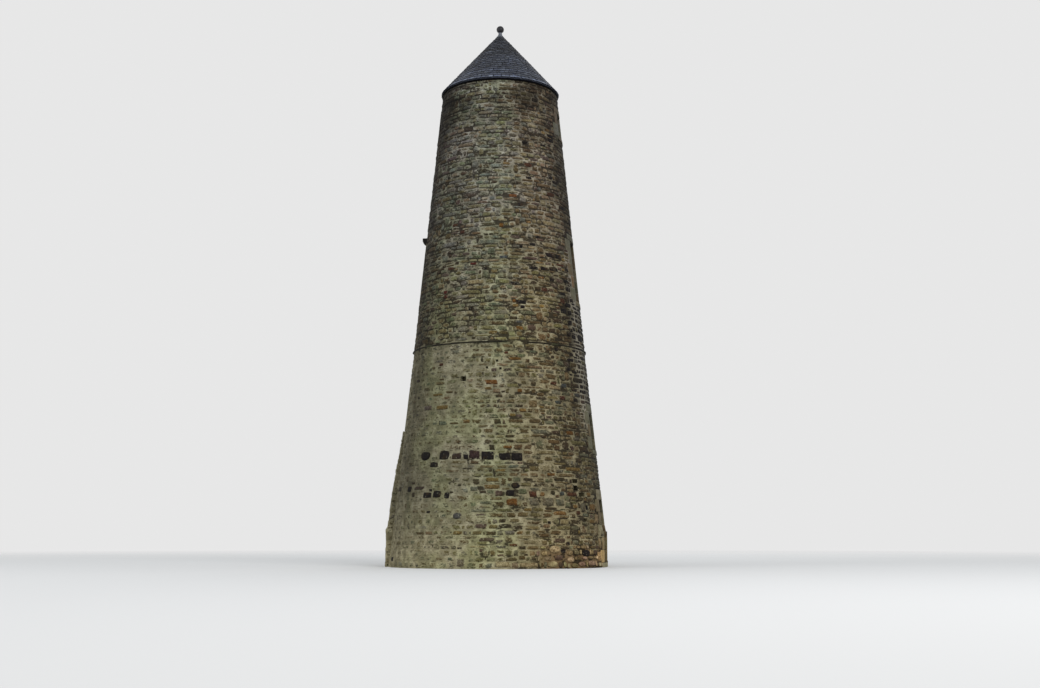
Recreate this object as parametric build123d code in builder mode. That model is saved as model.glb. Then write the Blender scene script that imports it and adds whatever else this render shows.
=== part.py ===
"""Dovecote tower: a tapering round tower of rubble stone under a conical slate roof.

Millimetres. The origin is the centre of the base at ground level, +Z is up, the front faces -Y,
and the two columns of doorways and windows face east (+X) and west (-X).
"""
from build123d import *
from dataclasses import dataclass
from math import atan, cos, radians, sin, sqrt
import os

os.makedirs("parts", exist_ok=True)

# The round wall: radius of its face at the ground, at the ledge and at the eaves
base_radius = 3635.0
ledge_radius = 2876.0
eaves_radius = 1975.0
wall_height = 16150.0

# The wall's thickness at the ground, and the bearing that each timber floor takes from it
wall_thickness = 1000.0
floor_bearing = 110.0

# The ledge: a ring of thin slabs that stands out from the wall
ledge_level = 7060.0
ledge_thickness = 90.0
ledge_projection = 60.0
ledge_slab_pairs = 12
ledge_joint = 6.0

# The stretch of the ledge that is broken back to the wall, as angles from east
broken_start = 287.7
broken_end = 296.8

# Holes left in the wall's front: a deep square one and shallow ones where stones have dropped out
deep_hole_depth = 300.0
drop_out_depth = 180.0
weep_hole_size = 75.0

# Floors, to the top of the flags or boards: the top one is set from the wall's head down
ground_floor_level = 150.0
first_floor_level = 2950.0
upper_floor_level = 8670.0
top_storey_height = 2580.0
board_thickness = 32.0
joist_depth = 200.0
joist_width = 75.0
joist_spacing = 450.0

# Doorways: the upper ones have their thresholds a step above the boards
doorway_width = 900.0
ground_doorway_height = 2030.0
upper_doorway_height = 2090.0
upper_step_height = 100.0

# Windows, with their height above the boards: the west one stands higher, over the apron
window_width = 900.0
window_height = 1240.0
east_window_breast_height = 860.0
west_window_breast_height = 1530.0
top_window_width = 700.0
top_window_height = 860.0
top_window_breast_height = 940.0

# Heights of the lintels and of the sills
ground_lintel_height = 330.0
window_lintel_height = 250.0
upper_lintel_height = 200.0
sill_stone_height = 150.0
top_sill_stone_height = 120.0

# Dressed stones round the openings
long_stone = 430.0
short_stone = 260.0
dressing_depth = 330.0
dressing_proud = 15.0
lintel_bearing = 250.0
sill_bearing = 90.0
sill_projection = 12.0
inner_splay = 200.0
rear_lintel_rise = 60.0

# The foot of the stones beside the east doorway is plumb, so it stands out from the sloping wall
plumb_height = 1150.0
plumb_projection = 60.0

# The built-out apron round the west doorway: how far it stands out from the wall's slope
apron_half_angle = 17.0
apron_foot_height = 1230.0
apron_foot_projection = 100.0
apron_shoulder_projection = 232.0
apron_weathering = 100.0
apron_weathered_projection = 185.0
apron_waist_height = 2600.0
apron_waist_projection = 170.0
apron_head_projection = 60.0
apron_keying = 200.0

# The hood stone over the west upper doorway
hood_projection = 45.0
hood_nose = 100.0

# Doors, frames and glass
reveal_depth = 170.0
frame_face = 75.0
frame_depth = 100.0
leaf_boards = 28.0
leaf_ledge_depth = 32.0
leaf_ledge_height = 150.0
leaf_ledge_inset = 220.0
leaf_ledges = 3
leaf_gap = 3.0
glass_thickness = 6.0

# The roof: the slates' edge stands just above the wall's head, and the cone rises from there
slate_edge_radius = 2025.0
slate_edge_rise_height = 32.0
roof_rise_height = 2308.0
slate_thickness = 30.0
boarding_thickness = 22.0
rafter_count = 12
rafter_width = 50.0
rafter_depth = 120.0
rafter_tail_inset = 35.0
tail_clearance = 3.0
king_block_radius = 90.0
king_block_drop = 120.0
wall_plate_inset = 150.0
wall_plate_width = 150.0
wall_plate_height = 75.0
fascia_gap = 12.0
fascia_thickness = 28.0
fascia_height = 95.0
fascia_top_drop = 30.0

# The lead cap and the ball on top
cap_seat_radius = 60.0
cap_skirt_radius = 125.0
cap_skirt_thickness = 14.0
cap_neck_radius = 65.0
cap_rise_height = 40.0
ball_radius = 130.0

# Clearance where one curved face sits in another
seat_gap = 0.4

# Values that follow from the sizes above
ledge_top = ledge_level + ledge_thickness
top_floor_level = wall_height - top_storey_height
floor_depth = board_thickness + joist_depth
bearing_levels = [
    first_floor_level - floor_depth,
    upper_floor_level - floor_depth,
    top_floor_level - floor_depth,
]
outreach = base_radius
slate_edge_height = wall_height + slate_edge_rise_height
roof_apex_height = slate_edge_height + roof_rise_height
cap_height = roof_apex_height + cap_rise_height
roof_slope = (roof_apex_height - slate_edge_height) / slate_edge_radius
roof_cosine = cos(atan(roof_slope))


@dataclass(frozen=True)
class Opening:
    """A doorway or window: its clear size and the stones that frame it."""

    foot: float
    height: float
    width: float
    lintel_height: float
    sill_height: float
    jamb_stones: int

    @property
    def head(self):
        return self.foot + self.height

    @property
    def middle(self):
        return self.foot + self.height / 2


@dataclass(frozen=True)
class Hole:
    """A hole in the wall's face: its angle from east, the height of its middle, and its size."""

    angle: float
    middle: float
    width: float
    height: float
    depth: float


# The holes of three slices of the lower wall: the widest lies across the joint of two slices
beam_hole = Hole(angle=258.0, middle=5930, width=200, height=160, depth=deep_hole_depth)
weep_holes = [
    Hole(angle=272.8, middle=6270, width=weep_hole_size, height=weep_hole_size, depth=drop_out_depth),
    Hole(angle=279.0, middle=6490, width=weep_hole_size, height=weep_hole_size, depth=drop_out_depth),
    Hole(angle=281.1, middle=6240, width=weep_hole_size, height=weep_hole_size, depth=drop_out_depth),
]
upper_drop_outs = [
    Hole(angle=326.2, middle=2720, width=230, height=135, depth=drop_out_depth),
    Hole(angle=326.5, middle=2500, width=190, height=150, depth=drop_out_depth),
]
wide_drop_out = Hole(angle=331.2, middle=2300, width=310, height=125, depth=drop_out_depth)
low_drop_out = Hole(angle=332.7, middle=1510, width=220, height=95, depth=drop_out_depth)

# The openings of the two sides, from the ground up
ground_doorway = Opening(
    foot=ground_floor_level,
    height=ground_doorway_height,
    width=doorway_width,
    lintel_height=ground_lintel_height,
    sill_height=ground_floor_level,
    jamb_stones=5,
)
east_window = Opening(
    foot=first_floor_level + east_window_breast_height,
    height=window_height,
    width=window_width,
    lintel_height=window_lintel_height,
    sill_height=sill_stone_height,
    jamb_stones=3,
)
west_window = Opening(
    foot=first_floor_level + west_window_breast_height,
    height=window_height,
    width=window_width,
    lintel_height=window_lintel_height,
    sill_height=sill_stone_height,
    jamb_stones=3,
)
upper_doorway = Opening(
    foot=upper_floor_level + upper_step_height,
    height=upper_doorway_height,
    width=doorway_width,
    lintel_height=upper_lintel_height,
    sill_height=sill_stone_height,
    jamb_stones=5,
)
top_window = Opening(
    foot=top_floor_level + top_window_breast_height,
    height=top_window_height,
    width=top_window_width,
    lintel_height=upper_lintel_height,
    sill_height=top_sill_stone_height,
    jamb_stones=2,
)

# The planes that the two sides are drawn on: x runs along the wall, y is the height
east = Plane(origin=(0, 0, 0), x_dir=(0, 1, 0), z_dir=(1, 0, 0))
west = Plane(origin=(0, 0, 0), x_dir=(0, -1, 0), z_dir=(-1, 0, 0))


def face_radius(height):
    """Radius of the wall's outer face at a height."""
    if height <= ledge_level:
        return base_radius + (ledge_radius - base_radius) * height / ledge_level
    if height <= ledge_top:
        return ledge_radius
    rise = (height - ledge_top) / (wall_height - ledge_top)
    return ledge_radius + (eaves_radius - ledge_radius) * rise


def thickness_at(height):
    """The wall's thickness just above a height: each floor below it takes its bearing."""
    floors_below = sum(1 for level in bearing_levels if level <= height)
    return wall_thickness - floor_bearing * floors_below


def inner_radius(height):
    """Radius of the wall's inner face just above a height."""
    return face_radius(height) - thickness_at(height)


def wall_section(bottom, top):
    """Corners of the wall's section, with a step inside under each floor."""
    corners = [(face_radius(bottom), bottom), (face_radius(top), top), (inner_radius(top), top)]
    for level in reversed(bearing_levels):
        if bottom < level < top:
            corners.append((inner_radius(level), level))
            corners.append((inner_radius(level) - floor_bearing, level))
    corners.append((inner_radius(bottom), bottom))
    return corners


def apron_face():
    """Outline of the apron's face, as radius and height from the ground up."""
    shoulder = apron_foot_height + apron_weathering
    head = west_window.foot - west_window.sill_height
    return [
        (face_radius(0) + apron_foot_projection, 0),
        (face_radius(apron_foot_height) + apron_shoulder_projection, apron_foot_height),
        (face_radius(shoulder) + apron_weathered_projection, shoulder),
        (face_radius(apron_waist_height) + apron_waist_projection, apron_waist_height),
        (face_radius(head) + apron_head_projection, head),
    ]


def east_face():
    """The line that the dressed stones of the east side follow."""
    plumb_radius = face_radius(plumb_height) + plumb_projection
    return [
        (plumb_radius, 0),
        (plumb_radius, plumb_height),
        (face_radius(plumb_height), plumb_height),
        (ledge_radius, ledge_level),
        (ledge_radius, ledge_top),
        (eaves_radius, wall_height),
    ]


def west_face():
    """The line that the dressed stones of the west side follow, over the apron."""
    head = west_window.foot
    return apron_face() + [
        (face_radius(head) + apron_head_projection, head),
        (face_radius(head), head),
        (ledge_radius, ledge_level),
        (ledge_radius, ledge_top),
        (eaves_radius, wall_height),
    ]


def drum(face_line, proud):
    """Corners of a solid drum whose face stands proud of a line by a small amount."""
    edge = [(radius + proud, height) for radius, height in face_line]
    return [(0, 0)] + edge + [(0, wall_height)]


def radial_plane(angle):
    """The upright plane through the tower's axis at an angle from east."""
    turn = radians(angle)
    return Plane(origin=(0, 0, 0), x_dir=(cos(turn), sin(turn), 0), z_dir=(sin(turn), -cos(turn), 0))


def dressing_back(opening):
    """How far from the axis the backs of an opening's dressed stones stand."""
    return face_radius(opening.head + opening.lintel_height) - dressing_depth


def frame_front(opening):
    """How far from the axis the front of an opening's frame stands."""
    return face_radius(opening.head) - reveal_depth


def draw_jambs(opening):
    """Draw the stacks of long and short stones on both sides of an opening."""
    step = opening.height / opening.jamb_stones
    for stone in range(opening.jamb_stones):
        width = short_stone if stone % 2 else long_stone
        reach = (opening.width + width) / 2
        level = opening.foot + (stone + 0.5) * step
        with Locations((-reach, level), (reach, level)):
            Rectangle(width, step)


def draw_lintel(opening):
    """Draw the stone over an opening."""
    with Locations((0, opening.head + opening.lintel_height / 2)):
        Rectangle(opening.width + 2 * lintel_bearing, opening.lintel_height)


def draw_sill(opening):
    """Draw the stone under an opening: a threshold at the ground runs under the jambs too."""
    bearing = long_stone if opening.foot == ground_floor_level else sill_bearing
    with Locations((0, opening.foot - opening.sill_height / 2)):
        Rectangle(opening.width + 2 * bearing, opening.sill_height)


def save(part, name):
    """Label a finished piece and write its file."""
    part.label = name
    export_step(part, f"parts/{name}.step")


def hole_cutters(holes):
    """The blocks that cut holes into the face of the wall."""
    with BuildPart() as cutters:
        for hole in holes:
            turn = radians(hole.angle)
            facing = Plane(origin=(0, 0, 0), x_dir=(-sin(turn), cos(turn), 0), z_dir=(cos(turn), sin(turn), 0))
            with BuildSketch(facing.offset(face_radius(hole.middle) - hole.depth)):
                with Locations((0, hole.middle)):
                    Rectangle(hole.width, hole.height)
            extrude(amount=outreach)
    return cutters.part


def plain_wall(bottom, top, start, holes=()):
    """A sixth of the ring wall, with no opening but perhaps some holes in its face."""
    with BuildPart() as wall:
        with BuildSketch(radial_plane(start)):
            Polygon(*wall_section(bottom, top), align=None)
        revolve(axis=Axis.Z, revolution_arc=60)
        if holes:
            add(hole_cutters(holes), mode=Mode.SUBTRACT)
    return wall.part


def opened_wall(bottom, top, start, side, openings, apron=(), holes=()):
    """A sixth of the ring wall, cut for its openings and for the stones that frame them."""
    with BuildPart() as wall:
        with BuildSketch(radial_plane(start)):
            Polygon(*wall_section(bottom, top), align=None)
        revolve(axis=Axis.Z, revolution_arc=60)
        if apron:
            keyed = [(face_radius(level) - apron_keying, level) for level in (apron[-1][1], 0)]
            with BuildSketch(radial_plane(180 - apron_half_angle)):
                Polygon(*apron, *keyed, align=None)
            revolve(axis=Axis.Z, revolution_arc=2 * apron_half_angle)
        for opening in openings:
            back = dressing_back(opening)
            with BuildSketch(side.offset(back)):
                draw_jambs(opening)
                draw_lintel(opening)
                draw_sill(opening)
                with Locations((0, opening.middle)):
                    Rectangle(opening.width, opening.height)
            extrude(amount=outreach, mode=Mode.SUBTRACT)
            splay_width = opening.width + 2 * inner_splay
            splay_height = opening.height + rear_lintel_rise
            narrowest = inner_radius(opening.head + rear_lintel_rise)
            inside = sqrt(narrowest**2 - (splay_width / 2) ** 2) - inner_splay
            with BuildSketch(side.offset(back)):
                with Locations((0, opening.middle)):
                    Rectangle(opening.width, opening.height)
            with BuildSketch(side.offset(inside)):
                with Locations((0, opening.foot + splay_height / 2)):
                    Rectangle(splay_width, splay_height)
            loft(mode=Mode.SUBTRACT)
        if holes:
            add(hole_cutters(holes), mode=Mode.SUBTRACT)
    return wall.part


def dressed_stones(side, face_line, openings, draw, proud):
    """The stones that one drawing function gives for each opening, cut to the wall's face."""
    with BuildPart() as stones:
        for opening in openings:
            with BuildSketch(side.offset(dressing_back(opening))):
                draw(opening)
            extrude(amount=outreach)
        with BuildSketch(Plane.XZ):
            Polygon(*drum(face_line, proud), align=None)
        revolve(axis=Axis.Z, mode=Mode.INTERSECT)
    return stones.part


def door_frames(side, doorways):
    """Timber frames of the doorways: two posts and a head."""
    with BuildPart() as frames:
        for doorway in doorways:
            with BuildSketch(side.offset(frame_front(doorway) - frame_depth)):
                with Locations((0, doorway.middle)):
                    Rectangle(doorway.width, doorway.height)
                with Locations((0, doorway.middle - frame_face / 2)):
                    Rectangle(
                        doorway.width - 2 * frame_face,
                        doorway.height - frame_face,
                        mode=Mode.SUBTRACT,
                    )
            extrude(amount=frame_depth)
    return frames.part


def door_leaf(side, doorway):
    """A closed boarded door with cross ledges behind, standing on its threshold."""
    leaf_width = doorway.width - 2 * frame_face - 2 * leaf_gap
    leaf_height = doorway.height - frame_face - leaf_gap
    ledge_spread = leaf_height - 2 * leaf_ledge_inset
    front = frame_front(doorway) - frame_depth / 2
    with BuildPart() as leaf:
        with BuildSketch(side.offset(front - leaf_boards)):
            with Locations((0, doorway.foot + leaf_height / 2)):
                Rectangle(leaf_width, leaf_height)
        extrude(amount=leaf_boards)
        with BuildSketch(side.offset(front - leaf_boards)):
            for ledge in range(leaf_ledges):
                level = doorway.foot + leaf_ledge_inset + ledge_spread * ledge / (leaf_ledges - 1)
                with Locations((0, level)):
                    Rectangle(leaf_width - 2 * leaf_ledge_depth, leaf_ledge_height)
        extrude(amount=-leaf_ledge_depth)
    return leaf.part


def window_frames(side, windows):
    """Timber frames of the windows, all the way round."""
    with BuildPart() as frames:
        for window in windows:
            with BuildSketch(side.offset(frame_front(window) - frame_depth)):
                with Locations((0, window.middle)):
                    Rectangle(window.width, window.height)
                    Rectangle(
                        window.width - 2 * frame_face,
                        window.height - 2 * frame_face,
                        mode=Mode.SUBTRACT,
                    )
            extrude(amount=frame_depth)
    return frames.part


def window_glass(side, windows):
    """One sheet of glass in each window frame."""
    with BuildPart() as glass:
        for window in windows:
            middle = frame_front(window) - frame_depth / 2
            with BuildSketch(side.offset(middle - glass_thickness / 2)):
                with Locations((0, window.middle)):
                    Rectangle(
                        window.width - 2 * frame_face - 2 * seat_gap,
                        window.height - 2 * frame_face - 2 * seat_gap,
                    )
            extrude(amount=glass_thickness)
    return glass.part


def timber_floor(level):
    """Boards on joists, cut to the round and resting on the step in the wall."""
    radius = inner_radius(level) - seat_gap
    joists = 2 * int(radius / joist_spacing) + 1
    with BuildPart() as floor:
        with BuildSketch(Plane.XY.offset(level - board_thickness)):
            Circle(radius)
        extrude(amount=board_thickness)
        with BuildSketch(Plane.XY.offset(level - floor_depth)):
            with GridLocations(joist_spacing, 0, joists, 1):
                Rectangle(joist_width, 2 * radius)
            Circle(radius, mode=Mode.INTERSECT)
        extrude(amount=joist_depth)
    return floor.part


def roof_line(radius, depth):
    """Height of the roof at a radius, at a depth square to the slates."""
    return roof_apex_height - radius * roof_slope - depth / roof_cosine


# Walls: six slices below the ledge and six above it
stages = {"lower": (0, ledge_level), "upper": (ledge_top, wall_height)}
plain_slices = {"back_east": 30, "back_west": 90, "front_west": 210, "front_east": 270}
front_east_holes = [*weep_holes, *upper_drop_outs, wide_drop_out]
slice_holes = {"lower_wall_front_west": [beam_hole], "lower_wall_front_east": front_east_holes}
for stage, (bottom, top) in stages.items():
    for place, start in plain_slices.items():
        name = f"{stage}_wall_{place}"
        save(plain_wall(bottom, top, start, slice_holes.get(name, ())), name)

east_openings = [ground_doorway, east_window, upper_doorway, top_window]
west_openings = [ground_doorway, west_window, upper_doorway, top_window]
east_holes = [wide_drop_out, low_drop_out]
save(opened_wall(0, ledge_level, -30, east, east_openings[:2], holes=east_holes), "lower_wall_east")
save(opened_wall(ledge_top, wall_height, -30, east, east_openings[2:]), "upper_wall_east")
save(opened_wall(0, ledge_level, 150, west, west_openings[:2], apron_face()), "lower_wall_west")
save(opened_wall(ledge_top, wall_height, 150, west, west_openings[2:]), "upper_wall_west")

# The ledge course: one ring, cut into slabs by open joints
with BuildPart() as ledge_course:
    with BuildSketch(Plane.XY.offset(ledge_level)):
        Circle(ledge_radius + ledge_projection)
        Circle(inner_radius(ledge_level), mode=Mode.SUBTRACT)
    extrude(amount=ledge_thickness)
    with BuildSketch(Plane.XY.offset(ledge_level)):
        with PolarLocations(0, ledge_slab_pairs, angular_range=180):
            Rectangle(2 * base_radius, ledge_joint)
    extrude(amount=ledge_thickness, mode=Mode.SUBTRACT)
    with BuildSketch(radial_plane(broken_start)):
        with Locations((ledge_radius + ledge_projection, ledge_level + ledge_thickness / 2)):
            Rectangle(2 * ledge_projection, 2 * ledge_thickness)
    revolve(axis=Axis.Z, revolution_arc=broken_end - broken_start, mode=Mode.SUBTRACT)
save(ledge_course.part, "ledge_course")

# Floors
with BuildPart() as ground_floor:
    with BuildSketch(Plane.XY):
        Circle(inner_radius(ground_floor_level) - seat_gap)
    extrude(amount=ground_floor_level)
save(ground_floor.part, "ground_floor")
save(timber_floor(first_floor_level), "first_floor")
save(timber_floor(upper_floor_level), "upper_floor")
save(timber_floor(top_floor_level), "top_floor")

# Dressed stones, doors and windows of the two sides
hooded = upper_doorway
sides = {
    "east": (east, east_face(), east_openings, east_openings),
    "west": (west, west_face(), west_openings, [o for o in west_openings if o is not hooded]),
}
for name, (side, face_line, openings, linteled) in sides.items():
    doorways = [openings[0], openings[2]]
    windows = [openings[1], openings[3]]
    sill_proud = dressing_proud + sill_projection
    save(dressed_stones(side, face_line, openings, draw_jambs, dressing_proud), f"{name}_jamb_stones")
    save(dressed_stones(side, face_line, linteled, draw_lintel, dressing_proud), f"{name}_lintels")
    save(dressed_stones(side, face_line, openings, draw_sill, sill_proud), f"{name}_sills")
    save(door_frames(side, doorways), f"{name}_door_frames")
    save(door_leaf(side, doorways[0]), f"{name}_ground_door")
    save(door_leaf(side, doorways[1]), f"{name}_upper_door")
    save(window_frames(side, windows), f"{name}_window_frames")
    save(window_glass(side, windows), f"{name}_window_glass")

# The hood stone: the west upper doorway's lintel, drawn out to a nose with a sloping soffit
hood_back = dressing_back(hooded)
hood_face = face_radius(hooded.head)
hood_top = hooded.head + hooded.lintel_height
hood_width = hooded.width + 2 * lintel_bearing
with BuildPart() as west_hood_stone:
    with BuildSketch(Plane.XZ.offset(-hood_width / 2)):
        Polygon(
            (-hood_back, hooded.head),
            (-hood_face, hooded.head),
            (-hood_face - hood_projection, hood_top - hood_nose),
            (-hood_face - hood_projection, hood_top),
            (-hood_back, hood_top),
            align=None,
        )
    extrude(amount=hood_width)
save(west_hood_stone.part, "west_hood_stone")

# The roof, from the wall plate up
plate_outer = eaves_radius - wall_plate_inset
plate_top = wall_height + wall_plate_height
with BuildPart() as wall_plate:
    with BuildSketch(Plane.XY.offset(wall_height)):
        Circle(plate_outer)
        Circle(plate_outer - wall_plate_width, mode=Mode.SUBTRACT)
    extrude(amount=wall_plate_height)
save(wall_plate.part, "wall_plate")

covering = slate_thickness + boarding_thickness
tail_radius = eaves_radius - rafter_tail_inset
underside_drop = covering + rafter_depth
seat_inner = (roof_apex_height - underside_drop / roof_cosine - plate_top) / roof_slope
seat_outer = plate_outer + tail_clearance
king_top = roof_line(king_block_radius, covering)
king_bottom = roof_line(king_block_radius, underside_drop) - king_block_drop
with BuildPart() as roof_rafters:
    with BuildSketch(Plane.XY.offset(king_bottom)):
        Circle(king_block_radius)
    extrude(amount=king_top - king_bottom)
    for number in range(rafter_count):
        half = rafter_width / 2
        with BuildSketch(radial_plane(number * 360 / rafter_count).offset(-half)):
            Polygon(
                (0, king_bottom + king_block_drop),
                (0, king_top),
                (king_block_radius, king_top),
                (tail_radius, roof_line(tail_radius, covering)),
                (tail_radius, wall_height + tail_clearance),
                (seat_outer, wall_height + tail_clearance),
                (seat_outer, plate_top),
                (seat_inner, plate_top),
                (king_block_radius, roof_line(king_block_radius, underside_drop)),
                align=None,
            )
        extrude(amount=rafter_width)
    with BuildSketch(Plane.XZ):
        Polygon(
            (0, wall_height),
            (eaves_radius, wall_height),
            (eaves_radius, roof_line(eaves_radius, covering)),
            (king_block_radius, king_top),
            (0, king_top),
            align=None,
        )
    revolve(axis=Axis.Z, mode=Mode.INTERSECT)
save(roof_rafters.part, "roof_rafters")

fascia_inner = eaves_radius + fascia_gap
boarding_edge = fascia_inner - seat_gap
with BuildPart() as roof_boarding:
    with BuildSketch(Plane.XZ):
        Polygon(
            (cap_seat_radius, roof_line(cap_seat_radius, slate_thickness)),
            (boarding_edge, roof_line(boarding_edge, slate_thickness)),
            (boarding_edge, roof_line(boarding_edge, covering)),
            (cap_seat_radius, roof_line(cap_seat_radius, covering)),
            align=None,
        )
    revolve(axis=Axis.Z)
save(roof_boarding.part, "roof_boarding")

with BuildPart() as roof_slates:
    with BuildSketch(Plane.XZ):
        Polygon(
            (cap_seat_radius, roof_line(cap_seat_radius, 0)),
            (slate_edge_radius, roof_line(slate_edge_radius, 0)),
            (slate_edge_radius, roof_line(slate_edge_radius, slate_thickness)),
            (cap_seat_radius, roof_line(cap_seat_radius, slate_thickness)),
            align=None,
        )
    revolve(axis=Axis.Z)
save(roof_slates.part, "roof_slates")

fascia_outer = fascia_inner + fascia_thickness
fascia_bottom = wall_height - fascia_height + fascia_top_drop
with BuildPart() as eaves_fascia:
    with BuildSketch(Plane.XZ):
        Polygon(
            (fascia_inner, roof_line(fascia_inner, slate_thickness)),
            (fascia_outer, roof_line(fascia_outer, slate_thickness)),
            (fascia_outer, fascia_bottom),
            (fascia_inner, fascia_bottom),
            align=None,
        )
    revolve(axis=Axis.Z)
save(eaves_fascia.part, "eaves_fascia")

# The lead cap: a flared skirt that rises to a neck
skirt_level = roof_line(cap_skirt_radius, 0)
with BuildPart() as lead_cap:
    with BuildSketch(Plane.XZ):
        with BuildLine():
            Line((0, roof_line(cap_seat_radius, 0)), (cap_seat_radius, roof_line(cap_seat_radius, 0)))
            Line((cap_seat_radius, roof_line(cap_seat_radius, 0)), (cap_skirt_radius, skirt_level))
            Line((cap_skirt_radius, skirt_level), (cap_skirt_radius, skirt_level + cap_skirt_thickness))
            Spline(
                (cap_skirt_radius, skirt_level + cap_skirt_thickness),
                (cap_neck_radius, cap_height),
                tangents=((-1, 1), (0, 1)),
            )
            Line((cap_neck_radius, cap_height), (0, cap_height))
            Line((0, cap_height), (0, roof_line(cap_seat_radius, 0)))
        make_face()
    revolve(axis=Axis.Z)
save(lead_cap.part, "lead_cap")

# The ball: a sphere with a flat at the bottom that sits on the neck
ball_rise = sqrt(ball_radius**2 - cap_neck_radius**2)
with BuildPart() as ball_finial:
    with Locations((0, 0, cap_height + ball_rise)):
        Sphere(ball_radius)
    split(bisect_by=Plane.XY.offset(cap_height), keep=Keep.TOP)
save(ball_finial.part, "ball_finial")
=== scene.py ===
"""Dress the dovecote tower: rubble in lime mortar, dressed openings, doors, slates, lead and ball.

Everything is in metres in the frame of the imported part: +Z is up, the front faces -Y, and the two
columns of doorways and windows face east (+X) and west (-X). Azimuths are turned from east. Sides
run from the east limb, 0, over the front or back, 0.5, to the west limb, 1.
"""

import logging
from dataclasses import dataclass, field, replace
from enum import Enum
from math import atan2, cos, degrees, hypot, pi, radians, sin, sqrt
from typing import Callable, ClassVar, Sequence

import bmesh
import bpy
import numpy as np
from mathutils import Matrix, Vector, noise


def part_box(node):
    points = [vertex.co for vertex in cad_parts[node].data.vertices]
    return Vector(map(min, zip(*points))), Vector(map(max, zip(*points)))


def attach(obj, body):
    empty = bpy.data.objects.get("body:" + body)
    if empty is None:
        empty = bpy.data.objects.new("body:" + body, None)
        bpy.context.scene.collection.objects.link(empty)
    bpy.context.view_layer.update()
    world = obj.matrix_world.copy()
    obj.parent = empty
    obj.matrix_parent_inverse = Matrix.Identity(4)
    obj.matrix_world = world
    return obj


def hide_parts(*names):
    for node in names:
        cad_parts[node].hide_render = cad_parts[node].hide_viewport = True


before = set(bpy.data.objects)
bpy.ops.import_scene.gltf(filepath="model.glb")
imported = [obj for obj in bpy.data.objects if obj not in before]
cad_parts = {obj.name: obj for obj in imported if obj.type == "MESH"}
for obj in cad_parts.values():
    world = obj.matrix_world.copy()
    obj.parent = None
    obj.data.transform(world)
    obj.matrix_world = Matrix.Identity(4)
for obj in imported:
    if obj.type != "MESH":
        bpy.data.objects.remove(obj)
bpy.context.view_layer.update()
BODY = "root"
log = logging.getLogger("tower")

Colour = tuple[float, float, float, float]
Tone = tuple[int, int, int]
Pair = tuple[float, float]
Stops = tuple[Pair, ...]
Box = tuple[float, float, float, float]
Socket = bpy.types.NodeSocket
Shape = bmesh.types.BMesh


def linear(*tone: float) -> Colour:
    """Turn a display colour, from 0 to 255, into scene-linear values with full opacity."""
    bent = [c / 12.92 if c <= 0.04045 else ((c + 0.055) / 1.055) ** 2.4 for c in (channel / 255 for channel in tone)]
    return (bent[0], bent[1], bent[2], 1.0)


def fold(azimuth: float) -> float:
    """Angle in degrees from east, 0, over the front or back, 90, to west, 180."""
    return abs((azimuth + 180) % 360 - 180)


@dataclass(frozen=True)
class TowerShape:
    """Radii and levels of the round wall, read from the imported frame."""

    base_radius: float
    ledge_radius: float
    eaves_radius: float
    ledge_bottom: float
    ledge_top: float
    wall_top: float

    @classmethod
    def from_frame(cls, fascia_outreach: float = 0.04) -> "TowerShape":
        """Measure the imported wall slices.

        Args:
            fascia_outreach: How far the fascia stands out from the wall's head.

        Returns:
            The wall's radii and levels.
        """
        lower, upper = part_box("lower_wall_front_east"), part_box("upper_wall_front_east")
        eaves_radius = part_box("eaves_fascia")[1].x - fascia_outreach
        return cls(-lower[0].y, -upper[0].y, eaves_radius, lower[1].z, upper[0].z, upper[1].z)

    def face(self, height: np.ndarray | float) -> np.ndarray:
        """Radius of the mortar bed at some heights."""
        levels = [0.0, self.ledge_bottom, self.ledge_top, self.wall_top]
        return np.interp(height, levels, [self.base_radius, self.ledge_radius, self.ledge_radius, self.eaves_radius])


@dataclass(frozen=True)
class Apron:
    """The built-out masonry round the west doorway: how far it stands out from the wall's slope."""

    half_angle: float = radians(17)
    heights: tuple[float, ...] = (0.0, 1.23, 1.33, 2.6, 4.33)
    projections: tuple[float, ...] = (0.1, 0.232, 0.185, 0.17, 0.06)

    def outreach(self, height: np.ndarray | float) -> np.ndarray:
        """How far the apron stands out at some heights, which is nothing above its head."""
        reach = np.interp(height, self.heights, self.projections)
        return np.where(np.asarray(height) <= self.heights[-1], reach, 0.0)


@dataclass(frozen=True)
class Opening:
    """A doorway or window, with the dressed stones that frame it."""

    foot: float
    height: float
    width: float
    lintel_height: float
    sill_height: float
    jamb_stones: int
    near_tones: tuple[Tone, ...] = ()
    hooded: bool = False
    long_stone: float = 0.43
    short_stone: float = 0.26
    lintel_bearing: float = 0.25
    sill_bearing: float = 0.09

    @property
    def head(self) -> float:
        """Level of the opening's head."""
        return self.foot + self.height

    def stones(self) -> list[Box]:
        """Where the dressed stones stand.

        Returns:
            Left, right, bottom and top of the sill, the lintel and the jamb stones, across the
            opening's middle line.
        """
        half, step = self.width / 2, self.height / self.jamb_stones
        sill = half + (self.long_stone if self.foot == self.sill_height else self.sill_bearing)
        lintel = half + self.lintel_bearing
        placed = [
            (-sill, sill, self.foot - self.sill_height, self.foot),
            (-lintel, lintel, self.head, self.head + self.lintel_height),
        ]
        for number in range(self.jamb_stones):
            wide = self.short_stone if number % 2 else self.long_stone
            low = self.foot + number * step
            placed += [(-half - wide, -half, low, low + step), (half, half + wide, low, low + step)]
        return placed


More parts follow.
